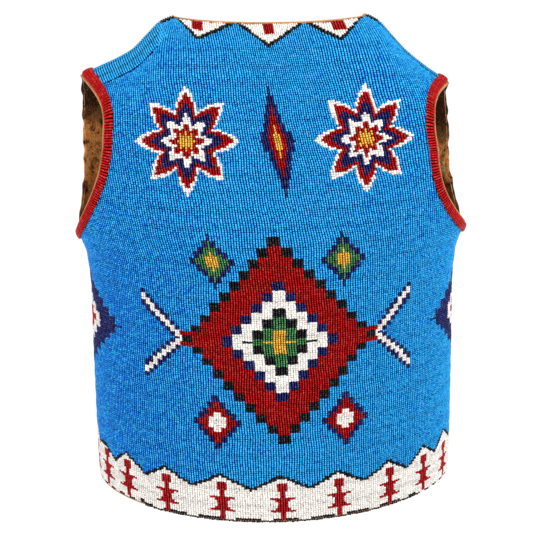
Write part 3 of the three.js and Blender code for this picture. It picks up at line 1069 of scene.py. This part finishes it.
def suede_material(name, settings):
    """The flesh side of tanned hide: mottled brown with a short nap, darkened by painted shade at the
    shoulders and under the arms.
    """
    shading = Shading(name)
    mottle = shading.noise(75, 6, 0.66, 0.8)
    nap = shading.noise(650, 3)
    browns = ((0.38, settings.suede_dark), (0.5, settings.suede), (0.63, settings.suede_light))
    tones = ((0.3, (0.45, 0.4, 0.36)), (0.7, (1.25, 1.2, 1.1)))
    fresh = shading.mix(0.55, shading.ramp(mottle, browns), shading.ramp(nap, tones), "MULTIPLY")
    return shading.surface({
        # Painted shade: the suede goes towards its darkest colour at the shoulders and under the arms
        "Base Color": shading.mix(unshaded_share(shading), (*settings.suede_dark, 1), fresh),
        "Normal": shading.bump(nap, 0.0008, 0.9, shading.bump(mottle, 0.009, 0.8)),
        "Roughness": 0.95,
        "Specular IOR Level": 0.1,
        "Sheen Weight": 0.12,
        "Sheen Tint": (0.9, 0.6, 0.35, 1),
    })


def hide_edge_material(name, settings):
    """The grain side and cut edge of the hide: tan, finely pored."""
    shading = Shading(name)
    return shading.surface({
        "Base Color": shading.ramp(shading.noise(60, 5), ((0.32, settings.edge_dark), (0.6, settings.edge))),
        "Normal": shading.bump(shading.noise(900, 2), 0.0002, 0.6),
        "Roughness": 0.7,
    })


def shaded_face_material(name, settings):
    """The hide's face between the beads, painted dark as the shade that the beads cast on it."""
    shading = Shading(name)
    return shading.surface({
        "Base Color": shading.ramp(shading.noise(300, 3), ((0.35, PAINTED_SHADE_DARK), (0.7, settings.suede_dark))),
        "Roughness": 1,
        "Specular IOR Level": 0,
    })


def nap_material(name, _):
    """Tufts of nap, each in its own brown."""
    shading = Shading(name)
    brown = shading.add("Attribute", attribute_name=COLOUR).outputs["Color"]
    tone = shading.ramp(shading.noise(900), ((0.3, (0.6, 0.6, 0.6)), (0.7, (1.2, 1.2, 1.2))))
    return shading.surface({
        "Base Color": shading.mix(1, brown, tone, "MULTIPLY"),
        "Roughness": 1,
        "Specular IOR Level": 0.05,
    })


def shared_material(name, make, settings):
    return bpy.data.materials.get(name) or make(name, settings)


# --- Settings ----------------------------------------------------------------------------------


def number_setting(name, description, default, **limits):
    return FloatProperty(name=name, description=description, default=default, **limits)


def length_setting(name, description, default):
    return number_setting(name, description, default, unit="LENGTH")


def share_setting(name, description, default):
    return number_setting(name, description, default, min=0, max=1)


def count_setting(name, description, default, least):
    return IntProperty(name=name, description=description, default=default, min=least)


def colour_setting(name, description, default):
    return FloatVectorProperty(
        name=name, description=description, subtype="COLOR", min=0, max=1, default=default,
    )


class VestBeads(bpy.types.PropertyGroup):
    columns: count_setting("Columns", "Columns of beads round half of the body", 202, 20)
    row_pitch: length_setting("Row pitch", "One bead's length along its string", 0.00212)
    string_pitch: length_setting("String pitch", "From string to string in the lanes and bindings", 0.00242)
    bead_height: length_setting("Bead height", "How far a bead stands over its lowest visible edge", 0.0015)
    bead_top: length_setting("Bead top", "How far a bead's crown stands over the form", 0.0001)
    crown_width: share_setting("Crown width", "A crown's share of its bead's width", 0.3)
    crown_length: share_setting("Crown length", "A crown's share of its bead's length", 0.66)
    string_crown_width: share_setting("String crown width", "The same in the lanes and bindings", 0.4)
    string_crown_length: share_setting("String crown length", "The same in the lanes and bindings", 0.78)
    overlap: number_setting("Overlap", "A bead's lowest width against the room it has", 1.06, min=0.5)
    stagger: share_setting("Stagger", "How far columns' rows differ, in beads", 0.32)
    lane_rows: count_setting("Beads on a lane", "Beads threaded between two stitches", 8, 2)
    lane_hump: length_setting("Lane hump", "How far a lane's middle rises over its stitches", 0.0004)
    # Painted shade on the beads at each lane's ends, on the field and along the shoulders
    lane_end_shade: share_setting("Lane dimming", "How much darker the beads at a lane's ends are", 0.1)
    shoulder_hump: length_setting("Shoulder hump", "Rise of the lanes along the shoulders", 0.0011)
    shoulder_end_shade: share_setting("Shoulder dimming", "The same dimming along the shoulders", 0.4)
    unevenness: length_setting("Unevenness", "How far beads stray from their places", 0.0001)
    tilt: number_setting("Tilt", "How far beads lean, in radians", 0.09)
    size_variation: share_setting("Size variation", "Spread of bead sizes, as a share", 0.035)
    tone_variation: share_setting("Tone variation", "Spread of bead tones, as a share", 0.14)
    # Painted light on the beads: some crowns painted paler at random as sparkle, painted shade from the
    # valleys up each bead's side, and a painted highlight on top of every crown
    glow: share_setting("Glow", "How much paler some crowns are than others", 0.22)
    valley_shade_end: share_setting("Valley end", "How far up a bead's side its valley's colour reaches", 0.47)
    crown_start: share_setting("Crown start", "How far up a bead's side its crown's colour starts", 0.85)
    glint: share_setting("Glint", "How much paler every crown is on top", 0.62)
    valley_shade_depth: number_setting("Valley depth", "How much the glass deepens between beads", 2.3, min=1)
    hem_margin: length_setting("Hem margin", "Bare hide below the lowest beads", -0.001)
    tuck: length_setting("Tuck", "How far the field runs in under the bindings", 0.0012)
    binding_reach: length_setting("Binding reach", "How far the bindings roll towards the edge", 0.0011)
    edge_margin: length_setting("Edge margin", "Bare hide along the neck and the front edges", 0.0014)
    gloss: share_setting("Gloss", "Strength of the glass's reflections", 0.03)
    gloss_low: share_setting("Least roughness", "Glass at its glossiest", 0.16)
    gloss_high: share_setting("Most roughness", "Glass at its dullest", 0.34)


class VestPalette(bpy.types.PropertyGroup):
    """Bead colours, in the order in which shades are numbered."""

    sky: colour_setting("Sky blue", "Beads of the field", (0.003, 0.362, 0.91))
    white: colour_setting("White", "Chalk white beads", (0.98, 0.95, 0.91))
    red: colour_setting("Red", "Bright red beads", (0.4, 0.0002, 0.0002))
    navy: colour_setting("Navy", "Dark blue beads", (0.003, 0.004, 0.08))
    black: colour_setting("Black", "Outline beads", (0.002, 0.002, 0.003))
    yellow: colour_setting("Yellow", "Ochre yellow beads", (0.80, 0.42, 0.02))
    green: colour_setting("Green", "Dark green beads", (0.02, 0.16, 0.03))
    maroon: colour_setting("Dark red", "Beads of the hem's small figures", (0.42, 0.0006, 0.0012))
    deep_sky: colour_setting("Deep sky blue", "A deeper hank mixed into the field", (0.001, 0.181, 0.85))


class VestHide(bpy.types.PropertyGroup):
    suede: colour_setting("Suede", "The nap inside", (1.0, 0.37, 0.085))
    # The darkest suede is also the colour of the painted shade inside and on the hide's face under the beads
    suede_dark: colour_setting("Dark suede", "The nap's darkest patches", (0.03, 0.008, 0.003))
    suede_light: colour_setting("Light suede", "The nap's lightest patches", (1.0, 0.6, 0.22))
    edge: colour_setting("Hide edge", "The cut edge and grain side", (0.68, 0.31, 0.11))
    edge_dark: colour_setting("Dark hide edge", "The edge's darker patches", (0.42, 0.18, 0.06))
    thinning: length_setting("Thinning", "How far the hide's face lies under the bead tops", 0.0019)
    armhole_edge: length_setting("Armhole edge", "Width of the rounded edge round the armholes", 0.003)
    neck_edge: length_setting("Neck edge", "The same along the neck and the fronts", 0.0017)
    hem_edge: length_setting("Hem edge", "The same along the hem", 0.0018)
    nap_locks: count_setting("Nap locks", "Tufts inside the back, and inside both fronts", 20000, 0)
    nap_length: length_setting("Nap length", "Length of the longest tufts", 0.0052)


class VestStudio(bpy.types.PropertyGroup):
    floor_height: length_setting("Floor height", "The floor's height, from the shoulders", -1.6)
    floor_glow: number_setting("Floor glow", "Light that the floor gives off", 0.68)
    ambient: number_setting("Ambient", "Brightness of the white surround", 0.46)
    key: number_setting("Key", "Power of the high light on the right", 18.2, unit="POWER")
    fill: number_setting("Fill", "Power of the light on the left", 7.5, unit="POWER")
    top: number_setting("Top", "Power of the light above", 6, unit="POWER")
    camera_distance: length_setting("Distance", "Camera to the body's axis", 1.1)
    camera_height: length_setting("Height", "Height of the camera's aim", -0.0323)
    camera_yaw: number_setting("Yaw", "Turn about the body", 0.0527, unit="ROTATION")
    camera_pitch: number_setting("Pitch", "Downward tilt", 0.2008, unit="ROTATION")
    camera_roll: number_setting("Roll", "Tilt of the horizon", 0.0116, unit="ROTATION")
    camera_lens: number_setting("Lens", "Focal length in millimetres", 72.8)
    camera_shift: number_setting("Shift", "Sideways shift of the frame", -0.011)


def bead_colours():
    colours = bpy.context.scene.vest_palette
    return np.array([tuple(getattr(colours, name)) for name in VestPalette.__annotations__])


# --- Operators ---------------------------------------------------------------------------------


# Each panel's flat cut in metres, and its area in square metres
Cut = namedtuple("Cut", "node half flat area")
CUTS = (
    Cut("back", "back", (0.53, 0.52), 0.214),
    Cut("front_left", "front", (0.27, 0.52), 0.099),
    Cut("front_right", "front", (0.27, 0.52), 0.099),
)
SAME_POINT = 1e-6
FLAT_ANGLE = math.radians(20)
SQUARE_ANGLE = math.radians(60)
RIM_ANGLE = math.radians(50)
RIM_CREASE = 0.9
OUTER_FACE = 0.4


class VEST_OT_hide_panels(bpy.types.Operator):
    """Makes the three hide panels, thin walls under the beads"""

    bl_idname = "vest.hide_panels"
    bl_label = "Hide panels"

    def execute(self, context):
        hide = context.scene.vest_hide
        suede = shared_material("suede", suede_material, hide)
        edge = shared_material("hide_edge", hide_edge_material, hide)
        face_shade = shared_material("sewn_face", shaded_face_material, hide)
        for cut in CUTS:
            mesh = self.panel(cut.node, cut.half, hide.thinning / MM)
            piece = add_piece(mesh.name, mesh, (suede, edge, face_shade))
            smoothing = piece.modifiers.new("smoothing", "SUBSURF")
            smoothing.levels = 1
            smoothing.render_levels = 1
            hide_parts(cut.node)
        return {"FINISHED"}

    def panel(self, node, half, thinning):
        """A thinner, smoother copy of a panel's solid, with its outer face let down under the beads."""
        bm = bmesh.new()
        bm.from_mesh(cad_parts[node].data)
        bmesh.ops.remove_doubles(bm, verts=bm.verts, dist=SAME_POINT)
        bmesh.ops.join_triangles(
            bm, faces=bm.faces, angle_face_threshold=FLAT_ANGLE, angle_shape_threshold=SQUARE_ANGLE,
        )
        bm.verts.ensure_lookup_table()
        points = np.array([vert.co for vert in bm.verts]) / MM
        points[:, 1] -= FACING[half] * SEAM_GAP / 2
        turn = turn_at(points[:, 0], points[:, 2])
        form = surface_at(half, turn, points[:, 2])
        outer = np.abs(form[:, 1] - points[:, 1]) < OUTER_FACE
        outward = outward_at(half, turn, np.maximum(wrap_at(turn, points[:, 2]), WRAP_STEP))
        crease = bm.edges.layers.float.new("crease_edge")
        for line in bm.edges:
            if len(line.link_faces) == 2 and line.calc_face_angle() > RIM_ANGLE:
                line[crease] = RIM_CREASE
        for face in bm.faces:
            on_rim = len({outer[vert.index] for vert in face.verts}) == 2
            face.smooth = True
            # The outer face takes the dark painted-shade material, the rim the hide's edge and the inside the
            # suede
            face.material_index = 1 if on_rim else 2 * int(outer[face.verts[0].index])
        for i in np.flatnonzero(outer):
            bm.verts[i].co -= Vector(outward[i] * thinning * MM)
        return mesh_from(bm, f"{node}_hide")


def lock_form():
    """One tuft of nap: a blade drawn out to a point."""
    bm = bmesh.new()
    bmesh.ops.create_circle(bm, cap_ends=True, segments=3, radius=0.5)
    bmesh.ops.translate(bm, vec=(0, 0.25, 0), verts=bm.verts)
    points, faces = points_and_faces(bm)
    points[:, 0] -= points[:, 0].mean()
    points[:, 1] -= points[:, 1].min()
    return points / np.ptp(points, axis=0).clip(1e-9), faces


# How tufts of nap swing and lean, how long and wide they are, how uneven their browns are, and how much of
# the inside's painted shade they take
NAP_SWING = 0.7
NAP_LEAN = (0.1, 0.5)
NAP_LENGTHS = (0.5, 1)
NAP_WIDTH = 0.3
NAP_ROOT = 0.05
NAP_LIGHTNESS = 0.68
NAP_CLUMPING = 0.22
NAP_SPREAD = 0.24
NAP_SHADE = 0.85
CHART_RADIUS = 190


class VEST_OT_suede_nap(bpy.types.Operator):
    """Raises the nap on the hide's inside"""

    bl_idname = "vest.suede_nap"
    bl_label = "Suede nap"

    def execute(self, context):
        hide = context.scene.vest_hide
        rng = np.random.default_rng(3)
        material = shared_material("nap", nap_material, hide)
        for half in FACING:
            count = hide.nap_locks
            turn = rng.uniform(-QUARTER_TURN, QUARTER_TURN, 2 * count)
            z = rng.uniform(HEM_HEIGHT, 10, 2 * count)
            spot = surface_at(half, turn, z)
            kept = on_panel(half, turn, spot, 0.3, 1.5) & (z < crest_height(spot[:, 0]) - 3)
            kept &= z > hem_height(turn) + hide.nap_length / MM + 1
            kept = np.flatnonzero(kept)[:count]
            turn, z = turn[kept], z[kept]
            self.locks(f"{half}_nap", half, turn, wrap_at(turn, z), hide, material, rng)
        return {"FINISHED"}

    def locks(self, name, half, turn, wrap, hide, material, rng):
        points, faces = lock_form()
        count = len(turn)
        _, down = slopes_at(half, turn, wrap)
        out = outward_at(half, turn, wrap)
        down = unit(down)
        across = np.cross(out, down)
        swing = rng.normal(0, NAP_SWING, (count, 1))
        lean = rng.uniform(*NAP_LEAN, (count, 1))
        along = unit(down * np.cos(swing) + across * np.sin(swing) - out * lean)
        side = unit(np.cross(out, along))
        length = hide.nap_length / MM * rng.uniform(*NAP_LENGTHS, (count, 1, 1))
        width = NAP_WIDTH * length
        root = point_at(half, turn, wrap) - out * (WALL - NAP_ROOT)
        blade = points[None, :, :1] * width * side[:, None]
        places = root[:, None] + blade + points[None, :, 1:2] * length * along[:, None]
        clumps = np.sin(turn * 31 + wrap / 9) + np.sin(wrap / 6.5 - turn * 17)
        light_share = NAP_LIGHTNESS + NAP_CLUMPING * clumps + rng.normal(0, NAP_SPREAD, count)
        # The tufts take the same painted shade as the suede under them
        share = np.clip(light_share, 0, 1) * (1 - NAP_SHADE * inside_shade_at(root[:, 0], root[:, 2]))
        dark, light = np.array(hide.suede_dark), np.array(hide.suede_light)
        colours = (dark + (light - dark) * share[:, None])[:, None] * np.ones((1, len(points), 1))
        chart = np.stack([turn * CHART_RADIUS, wrap], axis=1)[:, None] + points[None, :, :2] * 3
        return joined_copies(name, faces, places, {COLOUR: colours}, chart, material)


# The height at which the back's field is parted into two pieces
LOW_FIELD_TOP = -232


class VEST_OT_bead_fields(bpy.types.Operator):
    """Sews the bead columns over the back and the two fronts"""

    bl_idname = "vest.bead_fields"
    bl_label = "Bead fields"

    def execute(self, context):
        settings = context.scene.vest_beads
        rng = np.random.default_rng(7)
        for half in FACING:
            field = cut_to_panel(half, lay_field(half, settings), settings)
            shade = paint(half, field)
            # Deeper blue beads, at random and more of them where the flanks take painted shade
            shade[(shade == SKY) & (rng.uniform(0, 1, len(shade)) < deep_share(half, field))] = DEEP_SKY
            beads = Beads(
                centre=field.centre,
                along=field.along,
                out=outward_at(half, field.turn, field.wrap),
                width=field.width,
                length=field.length,
                shade=shade,
                chart=np.stack([field.run, field.rise], axis=1),
                tone=np.ones(len(shade)),
            )
            beads = uneven(beads, field.row, settings, rng, settings.lane_hump / MM, settings.lane_end_shade)
            crown = (settings.crown_width, settings.crown_length)
            for name, kept in self.pieces(half, field):
                bead_mesh(name, some(beads, kept), crown, settings, "glass_beads", rng)
        return {"FINISHED"}

    def pieces(self, half, field):
        """How a half's beads are shared out, each piece well under 200,000 triangles."""
        band = field.row < HEM_ROWS
        x = field.centre[:, 0]
        if half == "back":
            low = ~band & (field.centre[:, 2] < LOW_FIELD_TOP)
            return (("back_hem_band", band), ("back_field_low", low), ("back_field_high", ~band & ~low))
        return (
            ("front_left_hem_band", band & (x < 0)),
            ("front_right_hem_band", band & (x > 0)),
            ("front_left_field", ~band & (x < 0)),
            ("front_right_field", ~band & (x > 0)),
        )


class VEST_OT_shoulder_lanes(bpy.types.Operator):
    """Sews the strings that run down from the shoulder seams"""

    bl_idname = "vest.shoulder_lanes"
    bl_label = "Shoulder lanes"

    def execute(self, context):
        settings = context.scene.vest_beads
        rng = np.random.default_rng(11)
        hump = settings.shoulder_hump / MM
        parts = []
        for number, (side, half) in enumerate(SHOULDER_LANES):
            beads, row = lay_shoulder_lanes(side, half, settings)
            beads = uneven(beads, row, settings, rng, hump, settings.shoulder_end_shade)
            beads = beads._replace(centre=beads.centre + beads.out * hump / 2)
            parts.append(beads._replace(chart=beads.chart + (0, 60 * number)))
        crown = (settings.string_crown_width, settings.string_crown_length)
        bead_mesh("shoulder_lanes", chained(parts), crown, settings, "glass_beads", rng)
        return {"FINISHED"}


Stations = namedtuple("Stations", "half turn wrap ahead inward out points")


def loop_stations(side, pitch):
    """Even stations round an armhole: their half, place, and the ways ahead, inward and out."""
    loop = []
    for half in FACING:
        dense = armhole_places(side, half, EDGE_SAMPLES)
        count = int(round(line_length(half, dense) / pitch))
        turn, wrap = evenly(half, *dense, count * 2 + 1)
        points = point_at(half, turn, wrap)
        ahead = unit(np.gradient(points, axis=0))
        turn, wrap, ahead, points = (values[1::2] for values in (turn, wrap, ahead, points))
        out = outward_at(half, turn, wrap)
        inward = unit(np.cross(out, ahead)) * -FACING[half] * BODY_SIDE[side]
        values = (turn, wrap, ahead, inward, out, points)
        if half == "front":
            values = (value[::-1] for value in (turn, wrap, -ahead, inward, out, points))
        loop.append(Stations(half, *values))
    return loop


# Where a string's arch starts, as a share of a half circle, and how flat the arch is
ARCH_START = 0.03
ARCH_FLATNESS = 0.6

# A binding's chart: from string to string, from bead to bead, and from the back to the front
CHART_STRING = 2.8
CHART_BEAD = 3.0
CHART_HALF = 450


class VEST_OT_armhole_bindings(bpy.types.Operator):
    """Sews the raised red bindings round the armholes, string by string"""

    bl_idname = "vest.armhole_bindings"
    bl_label = "Armhole bindings"

    string_beads = 5

    def execute(self, context):
        settings = context.scene.vest_beads
        rng = np.random.default_rng(13)
        crown = (settings.string_crown_width, settings.string_crown_length)
        for side in BODY_SIDE:
            loop = loop_stations(side, settings.string_pitch / MM)
            beads = chained([self.strings(stations, settings.binding_reach / MM) for stations in loop])
            name = f"armhole_binding_beads_{side}"
            piece = bead_mesh(name, beads, crown, settings, "red_glass_beads", rng)
            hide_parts(f"armhole_binding_{side}")
        return {"FINISHED"}

    def strings(self, at, reach):
        """The strings over one half's stretch, each arched over the binding from edge to edge."""
        count = len(at.turn)
        share = np.linspace(0, 1, self.string_beads + 1)
        arch = np.pi * (ARCH_START + (1 - 2 * ARCH_START) * share)
        across = (BINDING_WIDTH + reach) * (0.5 - 0.5 * np.cos(arch) / np.cos(arch[0])) - reach
        lift = BINDING_LIFT + BINDING_THICKNESS * np.sin(arch) ** ARCH_FLATNESS
        knots = []
        for distance, height in zip(across, lift):
            place = place_inward(at.half, at.turn, at.wrap, at.inward, BINDING_INSET + distance)
            knots.append(point_at(at.half, *place) + outward_at(at.half, *place) * height)
        knots = np.stack(knots, axis=1)
        centre = (knots[:, 1:] + knots[:, :-1]) / 2
        spans = np.diff(knots, axis=1)
        along = unit(spans)
        ways = np.repeat(at.ahead[:, None, :], self.string_beads, axis=1)
        normal = unit(np.cross(ways, along))
        normal *= np.sign(dot(normal, at.out[:, None, :]))[..., None]
        spacing = lengths(np.gradient(centre[:, self.string_beads // 2], axis=0))
        station, bead = np.meshgrid(np.arange(count), np.arange(self.string_beads), indexing="ij")
        offset = 0 if at.half == "back" else CHART_HALF
        return Beads(
            centre=centre.reshape(-1, 3),
            along=along.reshape(-1, 3),
            out=normal.reshape(-1, 3),
            width=np.repeat(spacing, self.string_beads),
            length=lengths(spans).ravel(),
            shade=np.full(count * self.string_beads, RED),
            chart=np.stack([offset + station.ravel() * CHART_STRING, bead.ravel() * CHART_BEAD], axis=1),
            tone=np.ones(count * self.string_beads),
        )


# How far the hem's rounded edge lies under the crowns of the beads that hang over it
HEM_SINK = 1.0
EDGE_CORNERS = 10
EDGE_LIFT = 0.1

# How far a front's edge strays outward round its armhole: evenly, and in waves down it
EDGE_STRAY = 1.3
EDGE_WAVES = (Waver(0.8, 4.1, 0), Waver(0.5, 2.3, 1))


def rounded_edge(points, inward, out, width):
    """Rings about a line on the hide's edge, from it inward by a width and as thick as the wall."""
    turns = np.linspace(0, 2 * np.pi, EDGE_CORNERS, endpoint=False)
    across = width * (0.5 - 0.5 * np.cos(turns))[None, :, None]
    deep = (WALL * 0.5 * np.sin(turns) - WALL / 2 + EDGE_LIFT)[None, :, None]
    return points[:, None] + inward[:, None] * across + out[:, None] * deep


def front_edge_line(side):
    """The edge of a front from its hem to its neck and on to the shoulder, as places."""
    z = np.linspace(HEM_HEIGHT, FRONT_NECK_HEIGHT, EDGE_SAMPLES)
    neck_x, neck_z = front_neck_path(EDGE_SAMPLES)
    x = BODY_SIDE[side] * np.concatenate([front_gap_edge(z), neck_x[1:]])
    z = np.concatenate([z, neck_z[1:]])
    turn = turn_at(x, z)
    return turn, wrap_at(turn, z)


def hem_line(half, side):
    """The hem of the back from seam to seam, or of a front from its edge to its seam, as places."""
    start = -QUARTER_TURN
    sign = 1
    if half == "front":
        sign = BODY_SIDE[side]
        start = turn_at(front_gap_edge(HEM_HEIGHT), HEM_HEIGHT)
    turn = sign * np.linspace(start, QUARTER_TURN, EDGE_SAMPLES)
    return turn, wrap_at(turn, hem_height(turn))


class VEST_OT_hide_edges(bpy.types.Operator):
    """Rounds the hide's cut edge along the armholes, the neck, the fronts and the hem"""

    bl_idname = "vest.hide_edges"
    bl_label = "Hide edges"

    step = 3.0

    def execute(self, context):
        hide = context.scene.vest_hide
        edge = shared_material("hide_edge", hide_edge_material, hide)
        suede = shared_material("suede", suede_material, hide)
        for side in BODY_SIDE:
            rings_of_points = []
            for at in loop_stations(side, self.step):
                z = at.points[:, 2]
                waves = (wave.depth * np.sin(z / wave.length + wave.shift) for wave in EDGE_WAVES)
                stray = sum(waves, EDGE_STRAY) if at.half == "front" else 0 * z
                width = (hide.armhole_edge / MM + stray)[:, None, None]
                points = at.points - at.inward * stray[:, None]
                rings_of_points += list(rounded_edge(points, at.inward, at.out, width))
            swept_band(f"armhole_edge_{side}", rings_of_points, True, (edge, suede))
            middle = (BODY_SIDE[side] * 110, 100, -300)
            hem = hem_line("front", side)
            self.line(f"front_edge_{side}", "front", front_edge_line(side), middle, hide.neck_edge, edge)
            self.line(f"front_hem_edge_{side}", "front", hem, middle, hide.hem_edge, edge, HEM_SINK)
        middle = (0, -120, -250)
        self.line("neck_edge", "back", neck_line("back"), middle, hide.neck_edge, edge)
        self.line("back_hem_edge", "back", hem_line("back", None), middle, hide.hem_edge, edge, HEM_SINK)
        return {"FINISHED"}

    def line(self, name, half, places, middle, width, edge, sink=0):
        """A rounded edge along a line of places, on the side where the panel's middle lies."""
        turn, wrap = evenly(half, *places, int(line_length(half, places) / self.step))
        points = point_at(half, turn, wrap)
        ahead = unit(np.gradient(points, axis=0))
        out = outward_at(half, turn, np.maximum(wrap, WRAP_STEP))
        inward = unit(np.cross(out, ahead))
        inward *= np.sign(dot(inward, np.array(middle) - points))[:, None]
        rings_of_points = rounded_edge(points - out * sink, inward, out, width / MM)
        swept_band(name, list(rings_of_points), False, (edge,))


# Lamps by the setting that gives their power; all of them face one place in the body
Lamp = namedtuple("Lamp", "name place size")
LAMPS = (
    Lamp("key", (0.7, -1.57, 1.0), 0.35),
    Lamp("fill", (-1.1, -1.35, 0.5), 0.6),
    Lamp("top", (0.1, -0.5, 1.6), 0.5),
)
LAMP_AIM = Vector((0, -0.05, -0.22))
FLOOR_SIZE = 90


class VEST_OT_stage(bpy.types.Operator):
    """Sets up the pale backdrop, the soft lights and the camera"""

    bl_idname = "vest.stage"
    bl_label = "Stage"

    def execute(self, context):
        studio = context.scene.vest_studio
        self.backdrop(studio)
        self.lights(context.scene, studio)
        self.camera(context.scene, studio)
        return {"FINISHED"}

    def backdrop(self, studio):
        bm = bmesh.new()
        bmesh.ops.create_grid(bm, x_segments=2, y_segments=2, size=FLOOR_SIZE)
        bmesh.ops.translate(bm, vec=(0, 0, studio.floor_height), verts=bm.verts)
        mesh = mesh_from(bm, "floor")
        mesh.materials.append(Shading("pale_floor").surface({
            "Base Color": (0.85, 0.85, 0.85, 1),
            "Roughness": 1,
            "Specular IOR Level": 0,
            "Emission Color": (1, 1, 1, 1),
            "Emission Strength": studio.floor_glow,
        }))
        floor = bpy.data.objects.new("floor", mesh)
        bpy.context.scene.collection.objects.link(floor)

    def lights(self, scene, studio):
        world = bpy.data.worlds.new("studio")
        world.use_nodes = True
        nodes, links = world.node_tree.nodes, world.node_tree.links
        surround = nodes["Background"]
        surround.inputs["Color"].default_value = (1, 1, 1, 1)
        surround.inputs["Strength"].default_value = studio.ambient
        seen = nodes.new("ShaderNodeBackground")
        seen.inputs["Color"].default_value = (1, 1, 1, 1)
        path = nodes.new("ShaderNodeLightPath")
        either = nodes.new("ShaderNodeMixShader")
        links.new(path.outputs["Is Camera Ray"], either.inputs["Fac"])
        links.new(surround.outputs["Background"], either.inputs[1])
        links.new(seen.outputs["Background"], either.inputs[2])
        links.new(either.outputs["Shader"], nodes["World Output"].inputs["Surface"])
        scene.world = world
        for name, place, size in LAMPS:
            light = bpy.data.lights.new(name, "AREA")
            light.energy = getattr(studio, name)
            light.size = size
            lamp = bpy.data.objects.new(name, light)
            lamp.location = place
            lamp.rotation_euler = (LAMP_AIM - Vector(place)).to_track_quat("-Z", "Y").to_euler()
            scene.collection.objects.link(lamp)
        scene.view_settings.view_transform = "Standard"

    def camera(self, scene, studio):
        yaw, pitch, roll = studio.camera_yaw, studio.camera_pitch, studio.camera_roll
        forward = Vector((math.sin(yaw) * math.cos(pitch), math.cos(yaw) * math.cos(pitch), -math.sin(pitch)))
        up = Vector((math.sin(yaw) * math.sin(pitch), math.cos(yaw) * math.sin(pitch), math.cos(pitch)))
        right = forward.cross(up)
        turned_right = right * math.cos(roll) - up * math.sin(roll)
        turned_up = up * math.cos(roll) + right * math.sin(roll)
        data = bpy.data.cameras.new("camera")
        data.sensor_width = 36
        data.lens = studio.camera_lens
        data.shift_x = studio.camera_shift
        camera = bpy.data.objects.new("camera", data)
        turned = Matrix((turned_right, turned_up, -forward)).transposed().to_4x4()
        distance = studio.camera_distance
        place = Vector((-math.sin(yaw) * distance, -math.cos(yaw) * distance, studio.camera_height))
        camera.matrix_world = Matrix.Translation(place) @ turned
        scene.collection.objects.link(camera)
        scene.camera = camera


class VEST_PT_sidebar(bpy.types.Panel):
    bl_label = "Beaded vest"
    bl_idname = "VEST_PT_sidebar"
    bl_space_type = "VIEW_3D"
    bl_region_type = "UI"
    bl_category = "Vest"

    def draw(self, context):
        for operator in OPERATORS:
            self.layout.operator(operator.bl_idname)
        for name in SETTINGS:
            group = getattr(context.scene, name)
            box = self.layout.box()
            for key in group.bl_rna.properties.keys():
                if key not in {"rna_type", "name"}:
                    box.prop(group, key)


OPERATORS = (
    VEST_OT_hide_panels, VEST_OT_hide_edges, VEST_OT_suede_nap, VEST_OT_bead_fields, VEST_OT_shoulder_lanes,
    VEST_OT_armhole_bindings, VEST_OT_stage,
)
SETTINGS = {
    "vest_beads": VestBeads,
    "vest_palette": VestPalette,
    "vest_hide": VestHide,
    "vest_studio": VestStudio,
}


def register():
    for group in SETTINGS.values():
        bpy.utils.register_class(group)
    for name, group in SETTINGS.items():
        setattr(bpy.types.Scene, name, PointerProperty(type=group))
    for operator in (*OPERATORS, VEST_PT_sidebar):
        bpy.utils.register_class(operator)


def unregister():
    for operator in reversed((*OPERATORS, VEST_PT_sidebar)):
        bpy.utils.unregister_class(operator)
    for name in SETTINGS:
        delattr(bpy.types.Scene, name)
    for group in reversed(SETTINGS.values()):
        bpy.utils.unregister_class(group)


def main():
    register()
    bpy.ops.vest.hide_panels()
    bpy.ops.vest.hide_edges()
    bpy.ops.vest.suede_nap()
    bpy.ops.vest.bead_fields()
    bpy.ops.vest.shoulder_lanes()
    bpy.ops.vest.armhole_bindings()
    bpy.ops.vest.stage()


if __name__ == "__main__":
    main()
